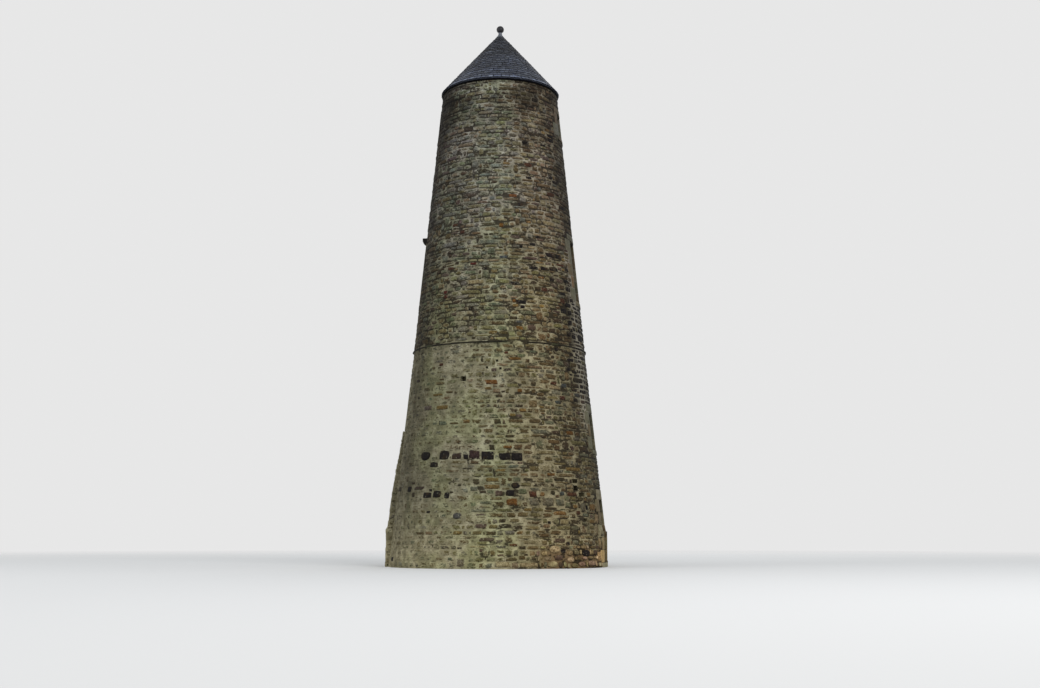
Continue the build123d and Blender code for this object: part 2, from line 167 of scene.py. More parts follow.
BUFF_BLOCK, TAN_BLOCK, LIGHT_BLOCK, PITTED_BLOCK = (194, 168, 120), (160, 144, 110), (154, 150, 124), (128, 116, 92)
OCHRE_BLOCK, CREAM_BLOCK, MOSSY_BLOCK, ORANGE_BLOCK = (136, 124, 96), (164, 156, 130), (127, 127, 107), (138, 114, 82)
GROUND_DOORWAY = Opening(
    0.15, 2.03, 0.9, 0.33, 0.15, 5, (BUFF_BLOCK, TAN_BLOCK, LIGHT_BLOCK, PITTED_BLOCK, OCHRE_BLOCK, CREAM_BLOCK)
)
EAST_WINDOW = Opening(3.81, 1.24, 0.9, 0.25, 0.15, 3, (MOSSY_BLOCK, PITTED_BLOCK, MOSSY_BLOCK, MOSSY_BLOCK))
WEST_WINDOW = Opening(4.48, 1.24, 0.9, 0.25, 0.15, 3)
UPPER_DOORWAY = Opening(
    8.77, 2.09, 0.9, 0.2, 0.15, 5, (MOSSY_BLOCK, ORANGE_BLOCK, PITTED_BLOCK, MOSSY_BLOCK, MOSSY_BLOCK, MOSSY_BLOCK)
)
HOODED_DOORWAY = Opening(8.77, 2.09, 0.9, 0.2, 0.15, 5, hooded=True)
TOP_WINDOW = Opening(14.51, 0.86, 0.7, 0.2, 0.12, 2)
EAST_OPENINGS = (GROUND_DOORWAY, EAST_WINDOW, UPPER_DOORWAY, TOP_WINDOW)
WEST_OPENINGS = (GROUND_DOORWAY, WEST_WINDOW, HOODED_DOORWAY, TOP_WINDOW)
WHITE = linear(255, 255, 255)


def add_node(tree: bpy.types.NodeTree, kind: str, inputs: dict | None = None, **settings: object) -> bpy.types.Node:
    """Add a node.

    Args:
        tree: What it is added to.
        kind: The node's type name.
        inputs: Values or sockets for its inputs, by name or number.
        **settings: Properties of the node itself.

    Returns:
        The new node.
    """
    made = tree.nodes.new(kind)
    for key, value in settings.items():
        setattr(made, key, value)
    for key, value in (inputs or {}).items():
        if isinstance(value, Socket):
            tree.links.new(value, made.inputs[key])
        else:
            made.inputs[key].default_value = value
    return made


def put(name: str, data: bpy.types.ID) -> bpy.types.Object:
    """Put a new object into the scene."""
    made = bpy.data.objects.new(name, data)
    bpy.context.scene.collection.objects.link(made)
    return made


class Recipe:
    """A procedural material being mixed, with short calls for the nodes that the finishes share."""

    def __init__(self, name: str) -> None:
        """Start an empty material.

        Args:
            name: The material's name.
        """
        self.material = bpy.data.materials.new(name)
        self.material.use_nodes = True
        self.tree = self.material.node_tree
        self.tree.nodes.clear()
        self.place: Socket = self.node("ShaderNodeTexCoord").outputs["Object"]
        parts = self.node("ShaderNodeSeparateXYZ", {"Vector": self.place}).outputs
        turn = self.sums("ARCTAN2", self.sums("ABSOLUTE", parts["Y"]), parts["X"])
        self.side: Socket = self.times(turn, 1 / pi)
        self.level: Socket = parts["Z"]

    def node(self, kind: str, inputs: dict | None = None, **settings: object) -> bpy.types.Node:
        """Add a node to the material."""
        return add_node(self.tree, kind, inputs, **settings)

    def attribute(self, name: str) -> bpy.types.NodeOutputs:
        """Read an attribute of the mesh."""
        return self.node("ShaderNodeAttribute", attribute_name=name).outputs

    def noise(self, scale: float, detail: float = 3, stretch: Sequence[float] = (1, 1, 1)) -> Socket:
        """Cloudy noise about one half: clouds to a metre, octaves of detail, and the scale of each axis."""
        mapped = self.node("ShaderNodeMapping", {"Vector": self.place, "Scale": tuple(stretch)}).outputs["Vector"]
        return self.node("ShaderNodeTexNoise", {"Vector": mapped, "Scale": scale, "Detail": detail}).outputs["Fac"]

    def sums(self, operation: str, *values: Socket | float) -> Socket:
        """Work out a value from others, in the order of the named sum."""
        return self.node("ShaderNodeMath", dict(enumerate(values)), operation=operation).outputs[0]

    def times(self, first: Socket, second: Socket | float) -> Socket:
        """Multiply two values."""
        return self.sums("MULTIPLY", first, second)

    def swing(self, scale: float, detail: float, stretch: Sequence[float] = (1, 1, 1)) -> Socket:
        """Cloudy noise about zero."""
        return self.sums("SUBTRACT", self.noise(scale, detail, stretch), 0.5)

    def step(self, value: Socket, low: float, high: float) -> Socket:
        """Rise softly from 0, where the value is low, to 1, where it is high."""
        inputs = {"Value": value, "From Min": low, "From Max": high}
        return self.node("ShaderNodeMapRange", inputs, interpolation_type="SMOOTHSTEP").outputs["Result"]

    def band(self, value: Socket, ends: Pair, soft: float) -> Socket:
        """Give 1 between two ends and 0 outside, with borders of a soft width."""
        rise, fall = (self.step(value, end - soft / 2, end + soft / 2) for end in ends)
        return self.sums("SUBTRACT", rise, fall)

    def ramp(self, value: Socket, stops: Sequence[tuple[float, Colour]]) -> Socket:
        """Colour a value.

        Args:
            value: A value from 0 to 1.
            stops: Positions with their colours, from low to high.

        Returns:
            The colour.
        """
        made = self.node("ShaderNodeValToRGB", {"Fac": value})
        elements = made.color_ramp.elements
        for position, colour in stops[1:-1]:
            elements.new(position).color = colour
        elements[0].position, elements[0].color = stops[0]
        elements[-1].position, elements[-1].color = stops[-1]
        return made.outputs["Color"]

    def curve(self, value: Socket, stops: Stops) -> Socket:
        """Turn a value from 0 to 1 into another by straight lines between stops."""
        return self.ramp(value, [(at, (much, much, much, 1.0)) for at, much in stops])

    def mottle(self, value: Socket, low: float, high: float, *tone: int) -> Socket:
        """Colour a value from a tone, where it is low, to white, where it is high."""
        return self.ramp(value, [(low, linear(*tone)), (high, WHITE)])

    def mix(self, share: Socket | float, first: Socket | Colour, second: Socket | Colour, way: str = "MIX") -> Socket:
        """Lay a share of the second colour over the first."""
        made = self.node("ShaderNodeMix", {0: share, 6: first, 7: second}, data_type="RGBA", blend_type=way)
        return made.outputs[2]

    def glaze(self, colour: Socket, over: Socket | Colour) -> Socket:
        """Multiply a colour by another."""
        return self.mix(1.0, colour, over, "MULTIPLY")

    def bump(self, height: Socket, strength: float, depth: float, under: Socket | None = None) -> Socket:
        """Bump the normal, or another bump, by a height that stands for a depth in metres."""
        inputs = {"Height": height, "Strength": strength, "Distance": depth}
        return self.node("ShaderNodeBump", inputs if under is None else inputs | {"Normal": under}).outputs["Normal"]

    def finish(self, colour: Socket | Colour, roughness: float, normal: Socket, **more: float) -> bpy.types.Material:
        """Close the material with its shader.

        Args:
            colour: The base colour.
            roughness: The roughness.
            normal: The bumped normal.
            **more: Other shader inputs by name, with spaces written as underscores.

        Returns:
            The finished material.
        """
        inputs = {"Base Color": colour, "Roughness": roughness, "Normal": normal}
        inputs |= {key.replace("_", " "): value for key, value in more.items()}
        shader = self.node("ShaderNodeBsdfPrincipled", inputs)
        self.node("ShaderNodeOutputMaterial", {"Surface": shader.outputs["BSDF"]})
        return self.material


@dataclass(frozen=True)
class Weathering:
    """How rain, algae and soot darken the wall, with painted shade towards both limbs, under the eaves and high on the
    west side, over stones and mortar alike.
    """

    # Soot, which also paints shade: the stops by side below darken the wall towards the east and west limbs, partly as
    # soot and partly as painted shade.
    soot_and_shade: Colour = linear(128, 125, 120)
    low_soot_and_limb_shade: Stops = (
        (0, 0.85), (0.1, 0.48), (0.24, 0.08), (0.47, 0.0), (0.66, 0.3), (0.79, 0.72), (0.87, 0.55), (0.905, 0.15),
        (1, 0.3),
    )
    high_soot_and_limb_shade: Stops = (
        (0, 1.0), (0.1, 0.74), (0.24, 0.06), (0.47, 0.0), (0.69, 0.36), (0.82, 0.8), (0.9, 0.85), (1, 0.5)
    )
    levels: Pair = (1.5, 11.0)
    foot_levels: Pair = (0.1, 2.6)
    foot_share: float = 0.25
    # Painted shadow under the eaves, with some soot, growing towards the wall's head.
    eaves_soot_and_shadow: Stops = ((13.6, 0.0), (14.6, 0.6), (15.5, 0.95), (16.0, 1.0))
    head_sides: Stops = ((0, 1.0), (0.3, 1.0), (0.42, 0.45), (0.58, 0.8), (0.68, 1.0), (1, 1.0))
    pale_levels: Pair = (15.64, 15.98)
    pale_sides: Pair = (0.36, 0.76)
    pale_soft: float = 0.1
    pale_share: float = 0.75
    cloud_share: float = 0.16
    tallest: float = 17.0
    foot_wash: Colour = (1.22, 1.18, 1.1, 1.0)
    head_wash: Colour = (1.0, 1.02, 1.28, 1.0)
    wash_levels: Pair = (7.5, 13.0)
    # Painted shade over the upper wall on the west side.
    west_head_shade: Colour = (0.38, 0.36, 0.36, 1.0)
    west_head_shade_levels: Pair = (13.8, 15.1)
    west_head_shade_sides: Pair = (0.6, 0.78)
    warm: Colour = linear(255, 247, 236)
    warm_sides: Pair = (0.07, 0.39)
    algae: Colour = linear(248, 255, 240)
    algae_sides: Pair = (0.37, 0.77)
    tone_soft: float = 0.16
    wander: float = 0.16
    share: float = 1.0

    def over(self, mixing: Recipe, colour: Socket) -> Socket:
        """Lay the weathering and the painted shade over a colour.

        Args:
            mixing: The material being mixed.
            colour: The clean colour.

        Returns:
            The weathered colour.
        """
        times, step, band, level = mixing.times, mixing.step, mixing.band, mixing.level
        side = mixing.sums("ADD", mixing.side, times(mixing.swing(0.55, 2), self.wander))
        low, high = mixing.curve(side, self.low_soot_and_limb_shade), mixing.curve(side, self.high_soot_and_limb_shade)
        start, end = self.foot_levels
        rise = mixing.node("ShaderNodeMapRange", {"Value": level, 1: start, 2: end, 3: self.foot_share})
        soot_and_shade = times(mixing.mix(step(level, *self.levels), low, high), rise.outputs["Result"])
        eaves_soot_and_shadow = [(at / self.tallest, much) for at, much in self.eaves_soot_and_shadow]
        head = mixing.curve(mixing.sums("DIVIDE", level, self.tallest), eaves_soot_and_shadow)
        head = times(head, mixing.curve(side, self.head_sides))
        washed = times(band(level, self.pale_levels, self.pale_soft), band(side, self.pale_sides, self.pale_soft))
        head = times(head, mixing.sums("SUBTRACT", 1.0, times(washed, self.pale_share)))
        soot_and_shade = mixing.sums("MAXIMUM", soot_and_shade, times(head, step(mixing.noise(1.5, 4), 0.3, 0.56)))
        cloud = step(mixing.noise(1.1, 4, (1, 1, 0.7)), 0.62, 0.36)
        soot_and_shade = mixing.sums("MINIMUM", mixing.sums("ADD", soot_and_shade, times(cloud, self.cloud_share)), 1.0)
        growth = times(band(side, self.algae_sides, self.tone_soft), step(mixing.noise(0.9, 3), 0.4, 0.6))
        washes = (
            (times(soot_and_shade, self.share), self.soot_and_shade),
            (step(level, end, start), self.foot_wash),
            (step(level, *self.wash_levels), self.head_wash),
            (times(step(level, *self.west_head_shade_levels), step(side, *self.west_head_shade_sides)), self.west_head_shade),
            (band(side, self.warm_sides, self.tone_soft), self.warm),
            (growth, self.algae),
        )
        for share, wash in washes:
            colour = mixing.mix(share, colour, mixing.glaze(colour, wash))
        return colour


class Finish:
    """A finish, whose material is mixed when it is first asked for. Each has a name and a build method."""

    mixed: ClassVar[dict[str, bpy.types.Material]] = {}

    def material(self) -> bpy.types.Material:
        """Give the finish's material."""
        made = self.mixed.get(self.name)
        return made or self.mixed.setdefault(self.name, self.build(Recipe(self.name)))


@dataclass(frozen=True)
class MortarFinish(Finish):
    """Weathered lime mortar, smeared over the rims of the stones, scoured bare near the foot, with painted shadow in
    its open joints.
    """

    name: str = "lime_mortar"
    pale: Colour = linear(160, 155, 130)
    buff: Colour = linear(138, 132, 107)
    grey: Colour = linear(116, 112, 90)
    lime: Colour = linear(212, 208, 194)
    lime_share: float = 0.75
    lime_sides: Pair = (-0.2, 0.117)
    lime_levels: Pair = (4.6, 10.4)
    pit: Colour = linear(70, 62, 45)
    pit_share: float = 0.75
    # Painted shadow in the open joints.
    gap: Colour = linear(40, 34, 24)
    gap_shadow_share: float = 0.92
    open_shadow_low: Stops = ((0, 0.3), (0.07, 0.5), (0.22, 0.35), (0.42, 0.2), (0.57, 0.0), (1, 0.0))
    open_shadow_high: Stops = ((0, 0.3), (0.09, 0.5), (0.27, 0.42), (0.47, 0.4), (0.67, 0.5), (0.9, 0.5), (1, 0.35))
    open_shadow_share: float = 0.34
    ledge_levels: Pair = (6.6, 7.6)
    scoured: Colour = linear(102, 84, 62)
    scour_share: float = 0.85
    scour_sides: Pair = (0.037, 0.327)
    scour_levels: Pair = (0.72, 0.52)
    scour_wander: float = 0.9
    side_soft: float = 0.08
    streak_levels: Pair = (15.66, 15.98)
    streak_sides: Pair = (0.36, 0.76)
    streak_share: float = 0.45
    weather: Weathering = Weathering()

    def colour(self, mixing: Recipe) -> Socket:
        """Mix the mortar's colour.

        Args:
            mixing: The material being mixed.

        Returns:
            The colour before weathering.
        """
        times, step, band = mixing.times, mixing.step, mixing.band
        base = mixing.ramp(mixing.noise(4.2, 6), [(0.34, self.grey), (0.5, self.buff), (0.64, self.pale)])
        streaks = times(band(mixing.level, self.streak_levels, 0.12), step(mixing.noise(5, 4), 0.5, 0.6))
        streaks = times(times(streaks, band(mixing.side, self.streak_sides, 0.1)), self.streak_share)
        pale = times(mixing.sums("MAXIMUM", self.limed(mixing), streaks), self.lime_share)
        scour = mixing.sums("ADD", mixing.level, times(mixing.swing(2.4, 3), self.scour_wander))
        bare = times(band(mixing.side, self.scour_sides, self.side_soft), step(scour, *self.scour_levels))
        pits = times(step(mixing.noise(17, 4, (1, 1, 1.7)), 0.54, 0.68), self.pit_share)
        base = mixing.mix(pits, mixing.mix(pale, base, self.lime), self.pit)
        return mixing.mix(times(bare, self.scour_share), base, self.scoured)

    def limed(self, mixing: Recipe) -> Socket:
        """Give 1 where the mortar is whitish and 0 elsewhere."""
        sides = mixing.band(mixing.side, self.lime_sides, self.side_soft)
        return mixing.times(sides, mixing.band(mixing.level, self.lime_levels, 1.2))

    def build(self, mixing: Recipe) -> bpy.types.Material:
        """Mix the finish of the mortar bed.

        Args:
            mixing: The material being mixed.

        Returns:
            The material.
        """
        # Painted shadow in the open joints, by side and stage, kept off the limed mortar.
        low, high = mixing.curve(mixing.side, self.open_shadow_low), mixing.curve(mixing.side, self.open_shadow_high)
        share = mixing.mix(mixing.step(mixing.level, *self.ledge_levels), low, high)
        opened = mixing.sums("ADD", mixing.noise(2.6, 4, (1, 1, 1.8)), mixing.times(share, self.open_shadow_share))
        kept = mixing.sums("SUBTRACT", self.gap_shadow_share, self.limed(mixing))
        joint_shadow = mixing.times(mixing.step(opened, 0.6, 0.7), kept)
        colour = self.weather.over(mixing, mixing.mix(joint_shadow, self.colour(mixing), self.gap))
        lumps = mixing.bump(mixing.noise(9, 4), 0.9, 0.012)
        grain = mixing.bump(mixing.noise(60, 3), 0.7, 0.004, lumps)
        return mixing.finish(colour, 0.95, grain, Specular_IOR_Level=0.2)


@dataclass(frozen=True)
class RubbleFinish(Finish):
    """Sandstone and whinstone in their own colours, with mortar over their rims and painted shadow in their crevices.

    Each stone's tint has its colour, with the strength of its painted crevice shadow as alpha. Its wear has how
    far a point lies in from the rim, how much mortar covers the stone, and the place from foot, -1,
    to head, 1.
    """

    name: str = "rubble_stone"
    mortar: MortarFinish = MortarFinish()
    lichen: Colour = linear(158, 156, 134)
    lichen_share: float = 0.4
    stain: Colour = linear(92, 74, 46)
    stain_share: float = 0.35
    # Painted shadow in the crevices at the feet of stones.
    crevice_shadow: Colour = linear(34, 28, 19)
    crevice_shadow_share: float = 0.9
    lap: float = 0.85
    ragged: float = 2.2
    frayed: float = 1.2
    shading: tuple[tuple[float, Colour], ...] = (
        (0.0, linear(150, 146, 138)), (0.32, linear(232, 230, 226)), (0.6, WHITE)
    )

    def build(self, mixing: Recipe) -> bpy.types.Material:
        """Mix the finish from each stone's own tint and wear.

        Args:
            mixing: The material being mixed.

        Returns:
            The material.
        """
        sums, times, step = mixing.sums, mixing.times, mixing.step
        tint = mixing.attribute("tint")
        wear = mixing.attribute("wear")["Vector"]
        rim, cover, rise = mixing.node("ShaderNodeSeparateXYZ", {"Vector": wear}).outputs
        fine, coarse = mixing.noise(30, 4), mixing.noise(11, 5, (1, 1, 1.7))
        stone = mixing.glaze(tint["Color"], mixing.mottle(coarse, 0.3, 0.68, 170, 166, 160))
        stone = mixing.mix(times(step(mixing.noise(6, 4), 0.5, 0.66), self.stain_share), stone, self.stain)
        stone = mixing.glaze(stone, mixing.mottle(fine, 0.34, 0.6, 178, 172, 162))
        stone = mixing.glaze(stone, mixing.ramp(sums("MULTIPLY_ADD", rise, 0.5, 0.5), self.shading))
        stone = mixing.mix(times(step(mixing.noise(15, 3), 0.62, 0.7), self.lichen_share), stone, self.lichen)
        ragged = times(sums("SUBTRACT", coarse, 0.5), self.ragged)
        frayed = times(sums("SUBTRACT", fine, 0.5), self.frayed)
        hold = sums("SUBTRACT", self.lap, times(tint["Alpha"], 0.5))
        lapped = sums("ADD", cover, times(sums("SUBTRACT", 1.0, rim), hold))
        reach = sums("ADD", lapped, sums("ADD", ragged, frayed))
        colour = mixing.mix(step(reach, 0.3, 0.85), stone, self.mortar.colour(mixing))
        # Painted shadow at the foot of each stone, where its crevice opens.
        opened = sums("ADD", mixing.noise(5, 3, (1, 1, 2)), times(tint["Alpha"], 0.3))
        gap = times(step(rise, -0.35, -0.85), step(opened, 0.58, 0.72))
        colour = mixing.mix(times(gap, self.crevice_shadow_share), colour, self.crevice_shadow)
        colour = self.mortar.weather.over(mixing, colour)
        grain = mixing.bump(mixing.noise(70, 3), 0.6, 0.004, mixing.bump(coarse, 0.9, 0.016))
        return mixing.finish(colour, 0.92, grain, Specular_IOR_Level=0.2)


@dataclass(frozen=True)
class BlockFinish(Finish):
    """Tooled sandstone blocks, each with a tint of its own."""

    name: str = "tooled_block"
    weather: Weathering = Weathering(share=0.6)
    algae: Colour = linear(96, 104, 72)
    algae_share: float = 0.4

    def build(self, mixing: Recipe) -> bpy.types.Material:
        """Mix the finish from each block's tint.

        Args:
            mixing: The material being mixed.

        Returns:
            The material.
        """
        cloud = mixing.mottle(mixing.noise(5, 5, (1, 1, 1.6)), 0.32, 0.66, 206, 202, 192)
        colour = mixing.glaze(mixing.attribute("tint")["Color"], cloud)
        green = mixing.times(mixing.step(mixing.noise(3, 4), 0.52, 0.66), self.algae_share)
        colour = mixing.mix(green, colour, self.algae)
        grain = mixing.mottle(mixing.noise(44, 3), 0.3, 0.65, 200, 196, 188)
        colour = self.weather.over(mixing, mixing.glaze(colour, grain))
        fine = mixing.bump(mixing.noise(90, 3), 0.5, 0.002, mixing.bump(mixing.noise(13, 4), 0.7, 0.006))
        return mixing.finish(colour, 0.9, fine, Specular_IOR_Level=0.25)


@dataclass(frozen=True)
class StoneFinish(Finish):
    """Tooled or split sandstone without tints of its own."""

    name: str
    light: Tone
    middle: Tone
    dark: Tone
    depth: float = 0.006
    weather: Weathering = Weathering()

    def build(self, mixing: Recipe) -> bpy.types.Material:
        """Mix the finish.

        Args:
            mixing: The material being mixed.

        Returns:
            The material.
        """
        stops = [(0.32, linear(*self.dark)), (0.5, linear(*self.middle)), (0.68, linear(*self.light))]
        colour = mixing.ramp(mixing.noise(3.1, 5, (1, 1, 1.8)), stops)
        colour = mixing.glaze(colour, mixing.mottle(mixing.noise(40, 3), 0.3, 0.65, 196, 192, 184))
        faces = mixing.bump(mixing.noise(11, 4), 0.8, self.depth)
        fine = mixing.bump(mixing.noise(90, 3), 0.5, self.depth / 3, faces)
        return mixing.finish(self.weather.over(mixing, colour), 0.9, fine, Specular_IOR_Level=0.25)


@dataclass(frozen=True)
class WoodFinish(Finish):
    """Timber, painted or bare, with its grain along one axis."""

    name: str
    light: Tone
    dark: Tone
    grain: tuple[float, float, float] = (1.0, 1.0, 0.06)
    roughness: float = 0.6
    gloss: float = 0.4

    def build(self, mixing: Recipe) -> bpy.types.Material:
        """Mix the finish.

        Args:
            mixing: The material being mixed.

        Returns:
            The material.
        """
        figure = mixing.noise(46, 4, self.grain)
        colour = mixing.ramp(figure, [(0.3, linear(*self.dark)), (0.7, linear(*self.light))])
        colour = mixing.glaze(colour, mixing.mottle(mixing.noise(2.2, 3), 0.3, 0.7, 205, 203, 200))
        return mixing.finish(colour, self.roughness, mixing.bump(figure, 0.5, 0.002), Specular_IOR_Level=self.gloss)


@dataclass(frozen=True)
class SlateFinish(Finish):
    """Blue-grey slate, each one with its own tone, lichened here and there."""

    name: str = "blue_slate"
    lichen: Colour = linear(122, 124, 116)
    lichen_share: float = 0.3

    def build(self, mixing: Recipe) -> bpy.types.Material:
        """Mix the finish from each slate's own tint.

        Args:
            mixing: The material being mixed.

        Returns:
            The material.
        """
        cleft = mixing.mottle(mixing.noise(16, 4), 0.3, 0.7, 205, 207, 212)
        colour = mixing.glaze(mixing.attribute("tint")["Color"], cleft)
        spots = mixing.times(mixing.step(mixing.noise(22, 3), 0.62, 0.74), self.lichen_share)
        face = mixing.bump(mixing.noise(18, 4), 0.6, 0.004)
        return mixing.finish(mixing.mix(spots, colour, self.lichen), 0.62, face, Specular_IOR_Level=0.4)


@dataclass(frozen=True)
class MetalFinish(Finish):
    """Dull weathered metal: lead, iron or a painted ball."""

    name: str
    light: Tone
    dark: Tone
    metallic: float
    roughness: float
    depth: float = 0.001

    def build(self, mixing: Recipe) -> bpy.types.Material:
        """Mix the finish.

        Args:
            mixing: The material being mixed.

        Returns:
            The material.
        """
        colour = mixing.ramp(mixing.noise(9, 5), [(0.32, linear(*self.dark)), (0.68, linear(*self.light))])
        dents = mixing.bump(mixing.noise(30, 3), 0.5, self.depth)
        return mixing.finish(colour, self.roughness, dents, Metallic=self.metallic)


@dataclass(frozen=True)
class GlassFinish(Finish):
    """Old window glass, slightly rippled, with a dark tint that covers most of what lies behind it."""

    name: str = "old_glass"
    tone: Colour = linear(46, 54, 54)
    cover: float = 0.62

    def build(self, mixing: Recipe) -> bpy.types.Material:
        """Mix the finish from the material being mixed."""
        ripple = mixing.bump(mixing.noise(6, 2), 0.3, 0.002)
        return mixing.finish(self.tone, 0.08, ripple, Alpha=self.cover, IOR=1.5)


MORTAR, RUBBLE, BLOCKS, SLATE, GLASS = MortarFinish(), RubbleFinish(), BlockFinish(), SlateFinish(), GlassFinish()
HOOD_STONE = StoneFinish("hood_sandstone", (82, 78, 66), (60, 57, 48), (36, 34, 29))
FLAGS = StoneFinish("worn_flags", (122, 116, 100), (104, 98, 84), (84, 78, 66))
FLOOR_BOARDS = WoodFinish("floor_boards", (134, 108, 74), (92, 72, 48), (0.06, 1.0, 1.0))
ROOF_TIMBER = WoodFinish("sawn_softwood", (150, 122, 84), (108, 84, 56), (1.0, 1.0, 0.2))
DOOR_BOARDS = WoodFinish("door_boards", (72, 42, 32), (40, 25, 20))
FRAME_TIMBER = WoodFinish("frame_timber", (70, 48, 38), (44, 31, 26))
BLACK_PAINT = WoodFinish("black_paint", (12, 12, 13), (6, 6, 7), (0.2, 0.2, 1.0), 0.95, 0.04)
LEAD = MetalFinish("grey_lead", (112, 116, 124), (74, 78, 86), 0.35, 0.5, 0.002)
BALL_METAL = MetalFinish("dark_ball", (34, 34, 40), (18, 18, 22), 0.3, 0.5)
IRON = MetalFinish("black_iron", (46, 40, 38), (24, 21, 21), 0.6, 0.6)


def cube(size: Sequence[float], centre: Sequence[float]) -> Shape:
    """Cut a box.

    Args:
        size: Its size along each axis.
        centre: Its centre.

    Returns:
        The box.
    """
    shape = bmesh.new()
    bmesh.ops.create_cube(shape, size=1)
    bmesh.ops.scale(shape, vec=size, verts=shape.verts)
    bmesh.ops.translate(shape, vec=centre, verts=shape.verts)
    return shape


def divide(shape: Shape, axis: int, cuts: int) -> None:
    """Cut the edges of a box that run along an axis."""
    across = [edge for edge in shape.edges if abs(edge.verts[0].co[axis] - edge.verts[1].co[axis]) > 1e-3]
    bmesh.ops.subdivide_edges(shape, edges=across, cuts=cuts, use_grid_fill=True)


def soften(shape: Shape, width: float, sharpest: float = 0.8) -> None:
    """Bevel the edges whose faces meet at a sharper angle than a limit in radians.

    Args:
        shape: The shape, which is changed.
        width: Width of the softened edge.
        sharpest: The limit.
    """
    sharp = [edge for edge in shape.edges if edge.calc_face_angle(0) > sharpest]
    bmesh.ops.bevel(
        shape, geom=sharp, offset=width, offset_type="OFFSET", segments=2, profile=0.5, affect="EDGES", material=-1
    )


def bar(low: Vector, high: Vector, width: float) -> Shape:
    """Cut a bar between two corners, with edges softened to a width.

    Args:
        low: Its lowest corner.
        high: Its highest corner.
        width: Width of the softened edge.

    Returns:
        The bar.
    """
    shape = cube(high - low, (low + high) / 2)
    soften(shape, width)
    return shape


def quarter_turn(shape: Shape, axis: str) -> None:
    """Turn a shape by a quarter about an axis."""
    bmesh.ops.rotate(shape, verts=shape.verts, matrix=Matrix.Rotation(pi / 2, 3, axis))


def spun(section: Sequence[Pair], steps: int, closed: bool = True) -> Shape:
    """Spin a section a full turn about the tower's axis.

    Args:
        section: Radii and heights of its points.
        steps: How many steps the turn has.
        closed: Whether the last point is joined to the first.

    Returns:
        The shape, whose normals aren't sorted yet.
    """
    shape = bmesh.new()
    verts = [shape.verts.new((radius, 0, height)) for radius, height in section]
    edges = [shape.edges.new(pair) for pair in zip(verts, verts[1:] + verts[:closed])]
    line = edges if closed else verts + edges
    bmesh.ops.spin(shape, geom=line, cent=(0, 0, 0), axis=(0, 0, 1), angle=2 * pi, steps=steps, use_merge=True)
    return shape


def taken(shape: Shape) -> tuple[np.ndarray, list[list[int]]]:
    """Take a shape's points and faces, and free it.

    Args:
        shape: The shape.

    Returns:
        Its points, and its faces as point numbers.
    """
    shape.verts.index_update()
    points = np.array([vert.co for vert in shape.verts])
    faces = [[vert.index for vert in face.verts] for face in shape.faces]
    shape.free()
    return points, faces


@dataclass
class Carcass:
    """Points and faces gathered from many small shapes, with values on the points."""

    points: list[np.ndarray] = field(default_factory=list)
    corners: list[np.ndarray] = field(default_factory=list)
    sizes: list[np.ndarray] = field(default_factory=list)
    tints: list[np.ndarray] = field(default_factory=list)
    wears: list[np.ndarray] = field(default_factory=list)
    count: int = 0

    def add(
        self, points: np.ndarray, faces: list[list[int]], tint: np.ndarray | None = None, wear: np.ndarray | None = None
    ) -> None:
        """Add shapes that share one set of faces.

        Args:
            points: Points of each shape, as shapes by points by three.
            faces: The faces of one shape, as point numbers.
            tint: A colour for each shape, or for each point of each shape.
            wear: Three values for each point of each shape.
        """
        shapes, per_shape = points.shape[:2]
        starts = self.count + per_shape * np.arange(shapes)
        self.points.append(points.reshape(-1, 3))
        self.corners.append((starts[:, None] + np.concatenate(faces)).ravel())
        self.sizes.append(np.tile([len(face) for face in faces], shapes))
        if tint is not None:
            self.tints.append(np.repeat(tint, per_shape, axis=0) if tint.ndim == 2 else tint.reshape(-1, 4))
        if wear is not None:
            self.wears.append(wear.reshape(-1, 3))
        self.count += shapes * per_shape

    def add_mesh(
        self, shape: Shape, tint: Colour | None = None, shade: Callable[[Vector], Sequence[float]] | None = None
    ) -> None:
        """Add one shape and free it.

        Args:
            shape: The shape in its final place.
            tint: Its colour.
            shade: Which shares of the colour's channels are kept at a point.
        """
        kept = np.array([(*(shade(vert.co) if shade else (1.0, 1.0, 1.0)), 1.0) for vert in shape.verts])
        points, faces = taken(shape)
        self.add(points[None], faces, None if tint is None else (np.array([tint]) * kept)[None])

    def deliver(self, name: str, finish: Finish, slot: str, *nodes: str, smooth: bool = False) -> None:
        """Join everything into one mesh, make it a piece of the tower and report it.

        Args:
            name: The piece's name.
            finish: Its finish.
            slot: The record's material slot; not used.
            *nodes: The CAD nodes that it stands for.
            smooth: Whether its faces are shaded smooth.
        """
        mesh = bpy.data.meshes.new(name)
        corners, sizes = np.concatenate(self.corners).astype(np.int32), np.concatenate(self.sizes)
        mesh.vertices.add(self.count)
        mesh.vertices.foreach_set("co", np.concatenate(self.points).astype(np.float32).ravel())
        mesh.loops.add(len(corners))
        mesh.loops.foreach_set("vertex_index", corners)
        mesh.polygons.add(len(sizes))
        mesh.polygons.foreach_set("loop_start", np.concatenate(([0], np.cumsum(sizes)[:-1])).astype(np.int32))
        mesh.update(calc_edges=True)
        for title, kind, key, values in (
            ("tint", "FLOAT_COLOR", "color", self.tints), ("wear", "FLOAT_VECTOR", "vector", self.wears)
        ):
            if values:
                data = mesh.attributes.new(title, kind, "POINT").data
                data.foreach_set(key, np.concatenate(values).astype(np.float32).ravel())
        if smooth:
            mesh.polygons.foreach_set("use_smooth", [True] * len(sizes))
        mesh.materials.append(finish.material())
        piece = put(name, mesh)
        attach(piece, BODY)
        if nodes:
            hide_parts(*nodes)
        log.info("%s: %d triangles", name, int((sizes - 2).sum()))


def dress_node(node: str, finish: Finish) -> None:
    """Give a CAD node its finish."""
    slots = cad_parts[node].data.materials
    slots.clear()
    slots.append(finish.material())
    log.info("%s: dressed with %s", node, finish.name)


